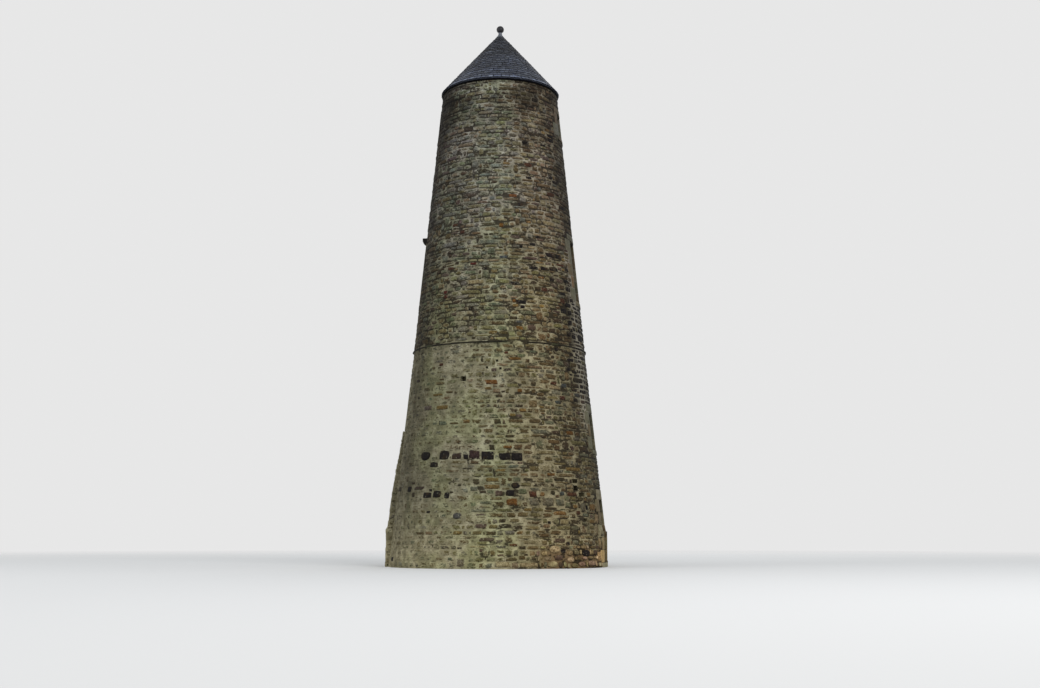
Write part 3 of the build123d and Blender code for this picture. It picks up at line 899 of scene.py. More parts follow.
def between(value: float, stops: Stops) -> float:
    """Read a value off the straight lines between stops."""
    return float(np.interp(value, *zip(*stops)))


class StoneKind(Enum):
    """Colours of the stones, as display values."""

    OLIVE = (102, 97, 68)
    GREY_GREEN = (98, 100, 80)
    GREY = (102, 102, 90)
    BUFF = (120, 114, 88)
    FAWN = (110, 98, 74)
    BROWN = (88, 76, 53)
    OCHRE = (116, 97, 60)
    ORANGE = (106, 74, 36)
    DARK = (64, 57, 43)
    PURPLE = (86, 74, 66)
    RUST = (78, 50, 36)
    WHIN = (30, 26, 26)
    PLUM = (58, 45, 41)
    BLUE = (74, 80, 80)
    RED = (84, 38, 28)
    MAUVE = (118, 108, 104)
    HONEY = (172, 150, 108)
    TAN = (142, 128, 100)
    SAGE = (126, 123, 99)
    CREAM = (166, 154, 128)
    PINK = (134, 116, 102)
    PALE = (146, 139, 116)
    # A near-black stone set where a hole would be: painted shadow.
    HOLE_SHADOW = (14, 11, 9)


class Quarter(Enum):
    """Parts of the wall whose stones differ, with the share of each kind."""

    POINTED = {
        StoneKind.OLIVE: 4, StoneKind.GREY_GREEN: 4, StoneKind.BUFF: 5, StoneKind.GREY: 4, StoneKind.FAWN: 2,
        StoneKind.BROWN: 0.6,
    }
    MIXED = {
        StoneKind.OLIVE: 5, StoneKind.GREY_GREEN: 2.5, StoneKind.FAWN: 3, StoneKind.BROWN: 3.5, StoneKind.BUFF: 2,
        StoneKind.GREY: 2, StoneKind.OCHRE: 0.5, StoneKind.DARK: 1.6, StoneKind.PURPLE: 0.5,
    }
    MOSSY = {
        StoneKind.GREY: 5, StoneKind.GREY_GREEN: 5, StoneKind.BUFF: 4, StoneKind.OLIVE: 3, StoneKind.FAWN: 2,
        StoneKind.BROWN: 1, StoneKind.DARK: 1,
    }
    WARM = {
        StoneKind.FAWN: 5, StoneKind.BROWN: 4, StoneKind.OLIVE: 2, StoneKind.BUFF: 3, StoneKind.OCHRE: 0.4,
        StoneKind.DARK: 1.6, StoneKind.PURPLE: 1, StoneKind.GREY: 1,
    }
    SHADED = {
        StoneKind.GREY: 4, StoneKind.FAWN: 2.5, StoneKind.BROWN: 3, StoneKind.DARK: 1.8, StoneKind.PURPLE: 1.5,
        StoneKind.GREY_GREEN: 2.5,
    }
    BLACKENED = {StoneKind.WHIN: 6, StoneKind.DARK: 3, StoneKind.BROWN: 1, StoneKind.GREY: 1}
    SCOURED = {
        StoneKind.PURPLE: 2.5, StoneKind.PINK: 1.6, StoneKind.BUFF: 3, StoneKind.CREAM: 0.6, StoneKind.DARK: 1.2,
        StoneKind.BROWN: 2, StoneKind.PALE: 2.5, StoneKind.FAWN: 3,
    }

    def draw(self, dice: np.random.Generator) -> StoneKind:
        """Draw a stone's kind by its share."""
        kinds, shares = list(self.value), np.array(list(self.value.values()), float)
        return kinds[dice.choice(len(kinds), p=shares / shares.sum())]


@dataclass
class Stone:
    """One stone: its cell on the face, in radians round and metres up, and its look."""

    left: float
    right: float
    bottom: float
    top: float
    kind: StoneKind = StoneKind.OLIVE
    proud: float = 0.0
    cover: float = 0.0
    rounded: bool = False
    course: int = -1
    gap: float = 0.024
    bright: float = 1.0
    # Strength of the painted shadow in the crevice at its foot.
    crevice_shadow: float = 0.3


def each(stones: Sequence[Stone], name: str) -> np.ndarray:
    """One value of each stone, as a column."""
    return np.array([[getattr(stone, name)] for stone in stones], float)


# Stones, and near-black stones painted as the shadow in holes, that show singly in the wall: azimuth in degrees,
# height, width and height in metres
FOUND_STONES: dict[StoneKind, tuple[Box, ...]] = {
    StoneKind.HONEY: ((-16.5, 0.35, 0.28, 0.34),),
    StoneKind.TAN: ((-13.6, 0.77, 0.26, 0.38), (-14.6, 1.54, 0.36, 0.34)),
    StoneKind.SAGE: ((-16.6, 1.17, 0.3, 0.36),),
    StoneKind.PLUM: ((-103.6, 3.47, 0.35, 0.21), (-93.3, 3.5, 0.38, 0.3)),
    StoneKind.WHIN: (
        (-111.4, 3.51, 0.37, 0.29), (-97.8, 3.44, 0.2, 0.15), (-85.9, 3.47, 0.41, 0.27), (-76.6, 3.44, 0.36, 0.22),
        (-69.8, 3.43, 0.36, 0.26), (-118.2, 3.22, 0.34, 0.15), (-121.3, 2.27, 0.38, 0.17), (-114.5, 2.29, 0.32, 0.22),
        (-108.2, 2.25, 0.18, 0.19), (-73.9, 2.31, 0.26, 0.19), (-65, 8.42, 0.34, 0.12), (-40, 10.1, 0.4, 0.13),
        (-31, 10.1, 0.3, 0.13), (-65.4, 13.7, 0.16, 0.05), (-55.5, 12.68, 0.2, 0.07), (-32.2, 12.84, 0.19, 0.07),
        (-26.5, 12.71, 0.34, 0.1), (-27.7, 14.18, 0.28, 0.11), (-28.3, 14.33, 0.28, 0.07), (-38.6, 13.92, 0.22, 0.07),
        (-63.3, 11.72, 0.16, 0.1), (-49.6, 10.66, 0.18, 0.06), (-54.9, 10.39, 0.2, 0.09), (-55, 9.59, 0.33, 0.1),
        (-46.1, 9.61, 0.27, 0.09), (-39.4, 9.64, 0.18, 0.11), (-34.3, 9.63, 0.1, 0.11), (-21.3, 9.73, 0.19, 0.1),
        (-39.7, 9.27, 0.18, 0.1), (-23.9, 9.32, 0.29, 0.11), (-20.5, 11.88, 0.37, 0.1), (-19.2, 10.9, 0.34, 0.1),
        (-90.3, 9.53, 0.16, 0.06), (-96.3, 8.65, 0.31, 0.05), (-69, 9.03, 0.32, 0.09), (-64, 8.27, 0.14, 0.09),
        (-24.4, 9.33, 0.3, 0.14), (-29.6, 8.86, 0.32, 0.07), (-18.6, 8.72, 0.23, 0.13), (-24.1, 8.51, 0.36, 0.14),
        (-30.4, 8.28, 0.31, 0.17), (-23, 8.27, 0.22, 0.14), (-23.8, 7.92, 0.23, 0.17), (-23.7, 7.68, 0.23, 0.11),
        (-20.4, 7.47, 0.29, 0.13), (-8.5, 7.5, 0.57, 0.23), (-25.2, 6.85, 0.18, 0.1), (-18.7, 6.89, 0.18, 0.09),
        (-15.5, 6.69, 0.18, 0.07), (-40.3, 6.95, 0.14, 0.09), (-24, 6.28, 0.31, 0.09), (-26.1, 5.67, 0.31, 0.07),
        (-17.9, 5.68, 0.17, 0.09), (-137.9, 2.48, 0.25, 0.17), (-119.5, 1.74, 0.15, 0.06), (-116.1, 1.74, 0.08, 0.05),
        (-119.1, 2.42, 0.12, 0.07), (-152.6, 0.26, 0.24, 0.13), (-42.5, 0.76, 0.16, 0.1), (-45.8, 0.53, 0.19, 0.1),
    ),
    StoneKind.HOLE_SHADOW: (
        (-25.2, 1.89, 0.12, 0.13), (-57.5, 13.9, 0.2, 0.1), (-63.9, 10.28, 0.08, 0.08), (-99, 8.21, 0.13, 0.12),
        (-45.8, 3.96, 0.13, 0.05), (-53, 1.41, 0.1, 0.08),
    ),
    StoneKind.DARK: (
        (-74, 13.44, 0.23, 0.05), (-50, 15.23, 0.21, 0.07), (-75, 11.26, 0.17, 0.07), (-99.7, 11.4, 0.37, 0.09),
        (-78.8, 10.23, 0.15, 0.06), (-60, 10.53, 0.2, 0.1), (-35.6, 9.44, 0.28, 0.06), (-89.8, 10.68, 0.16, 0.08),
        (-85.9, 10.69, 0.14, 0.07), (-111.4, 9.78, 0.17, 0.12), (-123.3, 9.73, 0.19, 0.09), (-61.8, 10.71, 0.17, 0.07),
        (-70.5, 7.89, 0.28, 0.11), (-125.2, 8.1, 0.16, 0.1), (-136.3, 7.9, 0.18, 0.13), (-96.2, 7.24, 0.15, 0.08),
        (-91.6, 8.24, 0.18, 0.06), (-79.7, 5.35, 0.23, 0.1), (-77.3, 5.49, 0.12, 0.07), (-33.6, 6.92, 0.24, 0.1),
        (-58.7, 5.76, 0.19, 0.14), (-73.5, 4.08, 0.32, 0.1), (-73.3, 3.93, 0.21, 0.09), (-45.5, 4.24, 0.35, 0.1),
        (-60.2, 6.9, 0.3, 0.09), (-153.1, 2.51, 0.4, 0.15), (-133.2, 2.3, 0.16, 0.15), (-134.3, 2.66, 0.2, 0.07),
        (-101, 2.56, 0.14, 0.07), (-83.5, 1.08, 0.32, 0.12), (-99.3, 0.63, 0.18, 0.06), (-88.1, 2.34, 0.23, 0.08),
        (-105.5, 2.34, 0.13, 0.06), (-29, 3.39, 0.33, 0.15), (-64, 2.73, 0.32, 0.1), (-45, 2.76, 0.48, 0.11),
        (-49.9, 2.33, 0.18, 0.14), (-51.5, 1.84, 0.44, 0.08), (-77.9, 1.46, 0.22, 0.12), (-76.5, 1.3, 0.43, 0.14),
        (-66.2, 0.43, 0.15, 0.06),
    ),
    StoneKind.BROWN: (
        (-121.9, 10.75, 0.27, 0.2), (-62.5, 9.24, 0.2, 0.07), (-76.9, 7.4, 0.29, 0.11), (-38.9, 8.08, 0.23, 0.1),
        (-28.4, 7.3, 0.47, 0.12), (-138.3, 7.29, 0.4, 0.17), (-42.8, 7.27, 0.2, 0.09), (-117.5, 5.95, 0.22, 0.06),
        (-110.9, 5.52, 0.28, 0.07), (-106.3, 4.51, 0.32, 0.07), (-77.8, 5.17, 0.18, 0.07), (-55.5, 6.59, 0.29, 0.08),
        (-48.9, 6.43, 0.57, 0.1), (-54.4, 5.43, 0.29, 0.13), (-53.5, 4.91, 0.21, 0.08), (-69.9, 4.56, 0.52, 0.12),
        (-58.6, 4.57, 0.44, 0.14), (-33.2, 4.46, 0.92, 0.1), (-58.6, 4.11, 0.32, 0.08), (-52.7, 6.92, 0.15, 0.1),
        (-46.6, 6.92, 0.18, 0.08), (-124, 1.08, 0.41, 0.08), (-51.4, 3.39, 0.29, 0.13), (-73.4, 1.63, 0.28, 0.15),
        (-56.4, 1.02, 0.38, 0.12), (-68.2, 0.34, 0.21, 0.12),
    ),
    StoneKind.PURPLE: (
        (-79.7, 2.3, 0.25, 0.19), (-104.7, 10.06, 0.28, 0.11), (-58.2, 7.6, 0.32, 0.2), (-142.2, 6.01, 0.29, 0.11),
        (-16, 5.33, 0.45, 0.12), (-24.4, 4.93, 0.27, 0.11), (-128.4, 2.5, 0.5, 0.11), (-88.8, 1.3, 0.38, 0.15),
        (-85.6, 0.89, 0.49, 0.12), (-88.3, 0.56, 0.11, 0.1), (-46.8, 0.86, 0.55, 0.15), (-48.6, 0.33, 0.33, 0.17),
    ),
    StoneKind.RUST: (
        (-61.6, 2.28, 0.27, 0.2), (-72.5, 0.72, 0.26, 0.09), (-116.6, 9.62, 0.26, 0.12), (-34, 12.23, 0.4, 0.16),
        (-55.7, 13.12, 0.31, 0.15), (-115.5, 11.09, 0.24, 0.11), (-108.5, 10.82, 0.18, 0.12), (-29.8, 9.83, 0.49, 0.08),
        (-47.3, 8.9, 0.26, 0.14), (-30, 8.61, 0.34, 0.19), (-119, 6.44, 0.18, 0.1), (-75.3, 6.75, 0.14, 0.09),
        (-44.5, 5.82, 0.26, 0.11), (-38.4, 5.37, 0.25, 0.14), (-36.9, 2.3, 0.48, 0.13), (-33.1, 1.72, 0.24, 0.13),
    ),
    StoneKind.RED: ((-98.4, 9.71, 0.24, 0.09), (-120, 8.84, 0.18, 0.13), (-119.3, 8.69, 0.17, 0.13)),
    StoneKind.ORANGE: (
        (-84.4, 5.8, 0.44, 0.16), (-72.9, 2.03, 0.38, 0.25), (-34.5, 4.25, 0.36, 0.14), (-69.2, 12.01, 0.28, 0.12),
        (-78.4, 10.99, 0.16, 0.15), (-49.3, 9.29, 0.23, 0.08), (-68.5, 8.45, 0.25, 0.13), (-66.3, 7.56, 0.26, 0.14),
        (-70, 6.56, 0.43, 0.1), (-67.3, 5.53, 0.18, 0.12), (-74.8, 3.74, 0.32, 0.1), (-50.2, 2.9, 0.31, 0.1),
    ),
    StoneKind.OCHRE: (
        (-18.7, 1.9, 0.44, 0.24), (-82.9, 2.72, 0.46, 0.14), (-83.3, 2.5, 0.52, 0.15), (-46.2, 1.7, 0.54, 0.14),
        (-74.1, 13.13, 0.28, 0.11), (-32, 14.52, 0.25, 0.11), (-68.5, 11.96, 0.29, 0.1), (-57.2, 11.14, 0.17, 0.09),
        (-68.9, 8.3, 0.21, 0.11), (-83.8, 7.41, 0.29, 0.12), (-119.8, 5.46, 0.45, 0.08), (-115.5, 5.04, 0.53, 0.14),
        (-98.7, 4.56, 0.25, 0.12), (-86.2, 5.6, 0.24, 0.1), (-72, 4.75, 0.21, 0.1), (-100.8, 1.09, 0.32, 0.12),
        (-34, 3.09, 0.75, 0.13), (-56.2, 2.28, 0.17, 0.14), (-21.8, 2.31, 0.27, 0.15), (-64.6, 1.8, 0.28, 0.1),
        (-35.1, 1.92, 0.23, 0.13),
    ),
    StoneKind.OLIVE: (
        (-64.9, 5.8, 0.19, 0.13), (-62.8, 4.77, 0.25, 0.11), (-82.4, 1.28, 0.28, 0.13), (-90.5, 1.09, 0.33, 0.12),
        (-89.7, 3.04, 0.2, 0.11), (-45.2, 3.37, 0.21, 0.13), (-60.2, 3.07, 0.35, 0.17), (-59, 1.8, 0.35, 0.11),
        (-67.1, 1.65, 0.36, 0.15), (-71.6, 1.47, 0.32, 0.11),
    ),
    StoneKind.GREY_GREEN: (
        (-69.5, 8.68, 0.41, 0.13), (-50.4, 6.75, 0.41, 0.1), (-49.3, 4.54, 0.36, 0.12), (-67.1, 2.36, 0.29, 0.19),
    ),
    StoneKind.GREY: (
        (-61.2, 2.04, 0.36, 0.25), (-53.1, 2.05, 0.45, 0.27), (-45.7, 2.03, 0.34, 0.23), (-113.9, 4.53, 0.3, 0.13),
        (-92.9, 2.44, 0.25, 0.15),
    ),
    StoneKind.BLUE: (
        (-101.4, 1.61, 0.32, 0.2), (-76.9, 9.91, 0.28, 0.1), (-66.6, 7.77, 0.26, 0.09), (-36.4, 5.77, 0.28, 0.16),
        (-23.1, 5.52, 0.4, 0.13), (-42.2, 5.22, 0.24, 0.12), (-44, 2.31, 0.2, 0.14),
    ),
    StoneKind.MAUVE: ((-127.3, 5.06, 0.42, 0.15),),
    StoneKind.FAWN: (
        (-65.3, 13.84, 0.32, 0.16), (-118.6, 5.83, 0.38, 0.11), (-118, 1.09, 0.3, 0.11), (-54.8, 1.31, 0.26, 0.15),
    ),
    StoneKind.PALE: ((-64.9, 0.12, 0.62, 0.15), (-98.4, 7.57, 0.16, 0.11), (-77.6, 0.14, 0.49, 0.19)),
    StoneKind.PINK: ((-54.8, 0.31, 0.25, 0.12),),
}
FOUND_BOULDERS: dict[StoneKind, tuple[Box, ...]] = {
    StoneKind.WHIN: ((-125.3, 3.51, 0.43, 0.29), (-70.9, 2.53, 0.27, 0.2), (-30.1, 0.47, 0.42, 0.2)),
    StoneKind.PINK: ((-34, 0.13, 0.33, 0.16), (-25.6, 0.15, 0.46, 0.18)),
    StoneKind.CREAM: ((-50.9, 0.59, 0.4, 0.25), (-41.6, 0.27, 0.3, 0.18), (-52.4, 0.14, 0.38, 0.2)),
}
OPEN_HOLES = (
    (-102.0, 5.93, 0.2, 0.16), (-87.2, 6.27, 0.075, 0.075), (-81.0, 6.49, 0.075, 0.075), (-78.9, 6.24, 0.075, 0.075),
    (-33.8, 2.72, 0.23, 0.135), (-33.5, 2.5, 0.19, 0.15), (-28.8, 2.3, 0.31, 0.125), (-27.3, 1.51, 0.22, 0.095),
)


@dataclass(frozen=True)
class Mason:
    """Chooses each stone's kind, how far it stands out and how much mortar covers it."""

    dice: np.random.Generator
    ledge: float
    border: Pair = (6.0, 0.12)
    scour_sides: Pair = (8.0, 56.0)
    scour_top: float = 0.72
    black_side: float = 27.0
    black_levels: Pair = (5.2, 9.2)
    black_share: float = 0.7
    pointed_side: float = 92.0
    shaded_side: float = 116.0
    mossy_side: float = 70.0
    low_cover: Stops = ((0, 0.0), (54, 0.04), (86, 0.22), (114, 0.56), (180, 0.6))
    high_cover: Stops = ((0, 0.02), (54, 0.1), (94, 0.16), (180, 0.14))
    band_bottom: float = 15.72
    band_side: float = 66.0
    band_cover: float = 0.3
    # Strength of the painted crevice shadow by folded azimuth, below and above the ledge; bared stones get their own.
    low_crevice_shadow: Stops = ((0, 0.8), (34, 0.45), (74, 0.3), (104, 0.0), (180, 0.0))
    high_crevice_shadow: Stops = ((0, 1.0), (54, 0.75), (180, 0.8))
    bare_crevice_shadow: float = 0.6
    low_gap: float = 0.022
    high_gap: float = 0.013
    scoured_gap: float = 0.03
    black_gap: float = 0.035
    relief: Pair = (0.006, 0.022)
    scoured_relief: Pair = (0.02, 0.06)
    lens_share: float = 0.4
    black_round_share: float = 0.35
    bared: float = 0.2
    high_bright: float = 1.16
    scoured_bright: float = 1.2

    def scoured(self, side: float, height: float) -> bool:
        """Whether a folded azimuth and height are in the scoured part of the foot."""
        return height < self.scour_top and self.scour_sides[0] < side < self.scour_sides[1]

    def quarter(self, side: float, height: float) -> Quarter:
        """Which part of the wall a stone is in.

        Args:
            side: Folded azimuth in degrees.
            height: Height in metres.

        Returns:
            The part, with soft borders.
        """
        side += self.dice.normal(0, self.border[0])
        height += self.dice.normal(0, self.border[1])
        if self.scoured(side, height):
            return Quarter.SCOURED
        if self.black_levels[0] < height < self.black_levels[1] and side < self.black_side:
            return Quarter.BLACKENED if self.dice.random() < self.black_share else Quarter.WARM
        if height < self.ledge:
            return Quarter.POINTED if side > self.pointed_side else Quarter.MIXED
        if side > self.shaded_side:
            return Quarter.SHADED
        return Quarter.MOSSY if side > self.mossy_side else Quarter.WARM

    def cover(self, side: float, height: float) -> float:
        """How much mortar is smeared over a stone.

        Args:
            side: Folded azimuth in degrees.
            height: Height in metres.

        Returns:
            A value that is below 0 for a clean stone and near 1 for a buried one.
        """
        base = between(side, self.low_cover if height < self.ledge else self.high_cover)
        if height > self.band_bottom and side > self.band_side:
            base = self.band_cover
        return float(np.clip(base + self.dice.normal(0, 0.16), -0.3, 0.8))

    def look(self, stone: Stone) -> None:
        """Give a stone its kind, cover and relief.

        Args:
            stone: The stone, which is changed.
        """
        side = fold(degrees((stone.left + stone.right) / 2))
        height = (stone.bottom + stone.top) / 2
        high = height > self.ledge
        quarter = self.quarter(side, height)
        stone.kind = quarter.draw(self.dice)
        stone.cover = self.cover(side, height)
        stone.proud = float(self.dice.uniform(*self.relief))
        spread = 0.12 if quarter is Quarter.POINTED else 0.16
        stone.bright = float(np.exp(self.dice.normal(0, spread))) * (self.high_bright if high else 1.0)
        stone.rounded = high and self.dice.random() < self.lens_share
        crevice_shadow = between(side, self.high_crevice_shadow if high else self.low_crevice_shadow)
        stone.crevice_shadow = float(np.clip(crevice_shadow + self.dice.normal(0, 0.25), 0, 1))
        stone.gap = self.high_gap if high else self.low_gap
        if quarter is Quarter.SCOURED:
            stone.rounded, stone.gap = True, self.scoured_gap
            stone.proud = float(self.dice.uniform(*self.scoured_relief))
            stone.cover, stone.crevice_shadow = -self.bared, self.bare_crevice_shadow
            stone.bright *= self.scoured_bright
        if quarter is Quarter.BLACKENED:
            stone.rounded, stone.gap = self.dice.random() < self.black_round_share, self.black_gap
            stone.cover, stone.crevice_shadow = stone.cover - self.bared, self.bare_crevice_shadow


@dataclass
class StonePatterns:
    """Template stones cut with mesh operators: they share their faces and differ in outline."""

    dice: np.random.Generator
    sides: int = 12
    squared: int = 14
    round: int = 6
    squareness: Pair = (4.0, 12.0)
    roundness: Pair = (2.1, 3.0)
    lean: float = 0.09
    unevenness: float = 0.03
    chipping: float = 0.09
    shoulder: float = 0.72
    insets: Stops = ((0.07, 0.55), (0.14, 0.3), (0.26, 0.15))
    rim: Stops = ((0.0, 0.0), (0.55, 0.15), (0.85, 0.45), (1.0, 1.0))

    def cut(self) -> tuple[np.ndarray, list[list[int]], np.ndarray]:
        """Cut every template.

        Returns:
            Points of each template, in a square of side 2 and from depth 0 to 1; the faces that
            they share; and how far in from the rim each point lies.
        """
        solids = [taken(self.stone(number >= self.squared)) for number in range(self.squared + self.round)]
        points = np.array([points for points, _ in solids])
        lift = (points[0, :, 2] - self.shoulder) / (1 - self.shoulder)
        return points, solids[0][1], np.interp(lift, *zip(*self.rim))

    def stone(self, rounded: bool) -> Shape:
        """Cut one template stone.

        Args:
            rounded: Whether it is a boulder and not a squared stone.

        Returns:
            The closed shape.
        """
        shape = bmesh.new()
        bmesh.ops.create_circle(shape, cap_ends=True, radius=1, segments=self.sides)
        power = self.dice.uniform(*(self.roundness if rounded else self.squareness))
        phase = self.dice.uniform(0, 2 * pi, 3)
        lean = 0.0 if rounded else self.dice.normal(0, self.lean)
        for vert in shape.verts:
            turn = atan2(vert.co.y, vert.co.x) + pi / self.sides
            reach = (abs(cos(turn)) ** power + abs(sin(turn)) ** power) ** (-1 / power)
            uneven = sum(sin((n + 2) * turn + phase[n]) for n in range(3))
            reach *= 1 - self.unevenness * (1 + uneven / 1.5) - self.dice.uniform(0, self.chipping)
            across, up = reach * cos(turn), reach * sin(turn)
            vert.co = (np.clip(across + lean * up, -1, 1), up, 0)
        lifted = bmesh.ops.extrude_face_region(shape, geom=shape.faces[:], use_keep_orig=True)["geom"]
        risen = [item for item in lifted if isinstance(item, bmesh.types.BMVert)]
        bmesh.ops.translate(shape, verts=risen, vec=(0, 0, self.shoulder))
        crown = next(item for item in lifted if isinstance(item, bmesh.types.BMFace))
        for inset, share in self.insets:
            bmesh.ops.inset_region(shape, faces=[crown], thickness=inset, depth=0, use_even_offset=True)
            bmesh.ops.translate(shape, verts=crown.verts[:], vec=(0, 0, (1 - self.shoulder) * share))
        bmesh.ops.recalc_face_normals(shape, faces=shape.faces)
        return shape


@dataclass
class RubbleWall:
    """The stones of the round wall, laid in courses round everything that stands in their way."""

    shape: TowerShape
    apron: Apron
    seed: int = 7
    bury: float = 0.022
    course_heights: Stops = ((0.0, 0.18), (7.0, 0.155), (16.2, 0.128))
    stone_lengths: Stops = ((0.0, 0.34), (7.0, 0.3), (16.2, 0.25))
    height_spread: Pair = (0.7, 1.3)
    length_spread: float = 0.45
    last_stone: float = 0.4
    smallest: float = 0.07
    jumper_share: float = 0.035
    jumper_lengths: Pair = (0.6, 1.1)
    split_share: float = 0.05
    split_over: Pair = (0.2, 0.16)
    split_at: Pair = (0.38, 0.62)
    boulder_share: float = 0.62
    found_relief: Pair = (0.016, 0.045)
    found_covers: Pair = (-0.35, -1.1)
    bare_lap: float = 0.012
    shear: float = 0.07
    tip: float = 0.0035
    return_depth: float = 0.02
    return_relief: float = 0.014
    return_gap: float = 0.015
    hole_margin: float = 0.008
    opening_margin: float = 0.006
    fresh: float = 1.5
    tint_spread: float = 0.04
    wobble: tuple[tuple[int, float], ...] = ((3, 0.014), (8, 0.009), (19, 0.005))
    calm_room: float = 0.15
    sectors: tuple[str, ...] = ("east", "back_east", "back_west", "west", "front_west", "front_east")

    def __post_init__(self) -> None:
        """Cut the templates and start with an empty wall."""
        self.dice = np.random.default_rng(self.seed)
        self.mason = Mason(self.dice, self.shape.ledge_bottom)
        self.templates, self.faces, self.rim = StonePatterns(self.dice).cut()
        self.lines: list[float] = []
        self.phases: list[np.ndarray] = []
        self.bounds: list[Pair] = []
        self.blocked: list[Box] = []
        self.near: list[Box] = []
        self.stones: list[Stone] = []

    def block_openings(self) -> None:
        """Keep the stones off the dressed stones and openings of both sides."""
        margin = self.opening_margin
        for centre, openings in ((0.0, EAST_OPENINGS), (pi, WEST_OPENINGS)):
            for opening in openings:
                gap = (-opening.width / 2, opening.width / 2, opening.foot, opening.head)
                for left, right, bottom, top in opening.stones() + [gap]:
                    middle = (bottom + top) / 2
                    radius = float(self.shape.face(middle)) + (float(self.apron.outreach(middle)) if centre else 0.0)
                    sides = (centre + left / radius, centre + right / radius)
                    self.blocked.append((*sides, bottom - margin, top + margin))

    def set_found_stones(self) -> None:
        """Set the stones that show singly, before the courses are laid round them."""
        for azimuth, height, width, tall in OPEN_HOLES:
            half = (width / 2 + self.hole_margin) / float(self.shape.face(height))
            middle, reach = radians(azimuth), tall / 2 + self.hole_margin
            self.blocked.append((middle - half, middle + half, height - reach, height + reach))
        for rounded, found in enumerate((FOUND_STONES, FOUND_BOULDERS)):
            for kind, cells in found.items():
                for cell in cells:
                    self.set_found(kind, cell, bool(rounded))

    def set_found(self, kind: StoneKind, cell: Box, rounded: bool) -> None:
        """Set one stone that shows singly, as far as its place is free.

        Args:
            kind: Its kind.
            cell: Its azimuth, height, width and height.
            rounded: Whether it is a boulder.
        """
        azimuth, height, width, tall = cell
        half = width / 2 / float(self.shape.face(height))
        middle = radians(azimuth)
        low, high = max(height - tall / 2, 0.0), height + tall / 2
        bare = kind in (StoneKind.HOLE_SHADOW, StoneKind.WHIN)
        proud, cover = self.found_relief[rounded], self.found_covers[bare]
        gap = -self.bare_lap if bare else 0.0
        stone = Stone(middle - half, middle + half, low, high, kind, proud, cover, rounded, gap=gap, crevice_shadow=0.0)
        self.look_near(low, high)
        if self.trim(stone):
            self.set_down(stone)

    def set_down(self, stone: Stone) -> None:
        """Set a stone and keep later ones off it."""
        self.stones.append(stone)
        self.blocked.append((stone.left, stone.right, stone.bottom, stone.top))
        self.near.append(self.blocked[-1])

    def trim(self, stone: Stone) -> bool:
        """Cut a stone's cell back from whatever is in its way.

        Args:
            stone: The stone, whose cell is changed.

        Returns:
            Whether enough of it is left.
        """
        for near, far, bottom, top in self.near:
            if stone.left >= far or stone.right <= near or stone.bottom >= top or stone.top <= bottom:
                continue
            tall, wide = stone.top - stone.bottom, stone.right - stone.left
            area, edge, value = max(
                ((near - stone.left) * tall, "right", near),
                ((stone.right - far) * tall, "left", far),
                ((bottom - stone.bottom) * wide, "top", bottom),
                ((stone.top - top) * wide, "bottom", top),
            )
            if area <= 0:
                return False
            setattr(stone, edge, value)
        wide = (stone.right - stone.left) * float(self.shape.face(stone.bottom))
        return wide > self.smallest and stone.top - stone.bottom > self.smallest * 0.8

    def look_near(self, bottom: float, top: float) -> None:
        """List what is in the way between two heights, at every turn of its azimuth."""
        self.near = [
            (left + turn, right + turn, low, high)
            for left, right, low, high in self.blocked
            for turn in (0.0, 2 * pi, -2 * pi)
            if low < top and high > bottom
        ]

    def lay(self, bottom: float, top: float, start: float = -pi, end: float = pi) -> None:
        """Lay courses over a band of the wall.

        Args:
            bottom: Level of the band's foot.
            top: Level of its head.
            start: Azimuth where each course starts.
            end: Azimuth where each course ends.
        """
        levels = [bottom]
        while levels[-1] < top - 0.06:
            tall = between(levels[-1], self.course_heights)
            levels.append(levels[-1] + float(tall * self.dice.uniform(*self.height_spread)))
        stretch = (top - bottom) / (levels[-1] - bottom)
        levels = [bottom + (level - bottom) * stretch for level in levels]
        first = len(self.lines)
        self.lines += levels
        self.phases += [self.dice.uniform(0, 2 * pi, len(self.wobble)) for _ in levels]
        self.bounds += [(bottom, top)] * len(levels)
        for course, (low, high) in enumerate(zip(levels, levels[1:])):
            radius = float(self.shape.face(low))
            length = between(low, self.stone_lengths)
            if course + 2 < len(levels):
                self.look_near(low, levels[course + 2])
                self.set_jumpers(low, levels[course + 2], length, radius, start, end)
            self.look_near(low, high)
            joint = start + float(self.dice.uniform(0.1, 1)) * length / radius
            previous = start
            while previous < end:
                joint = min(joint, end)
                if end - joint < self.last_stone * length / radius:
                    joint = end
                self.set_stone(Stone(previous, joint, low, high, course=first + course))
                previous = joint
                share = self.boulder_share if self.mason.scoured(fold(degrees(joint)), low) else 1.0
                joint += float(share * length * np.exp(self.dice.normal(0, self.length_spread))) / radius

    def set_jumpers(self, low: float, high: float, length: float, radius: float, start: float, end: float) -> None:
        """Set some stones that rise through two courses.

        Args:
            low: Level of the lower course's foot.
            high: Level of the upper course's head.
            length: Usual length of the stones.
            radius: Radius of the wall.
            start: Azimuth where the course starts.
            end: Azimuth where it ends.
        """
        for _ in range(self.dice.binomial(int((end - start) * radius / length), self.jumper_share)):
            left = float(self.dice.uniform(start, end - 2 * length / radius))
            wide = length * float(self.dice.uniform(*self.jumper_lengths)) / radius
            stone = Stone(left, left + wide, low, high)
            if self.trim(stone) and stone.top - stone.bottom > 0.8 * (high - low):
                self.mason.look(stone)
                self.set_down(stone)

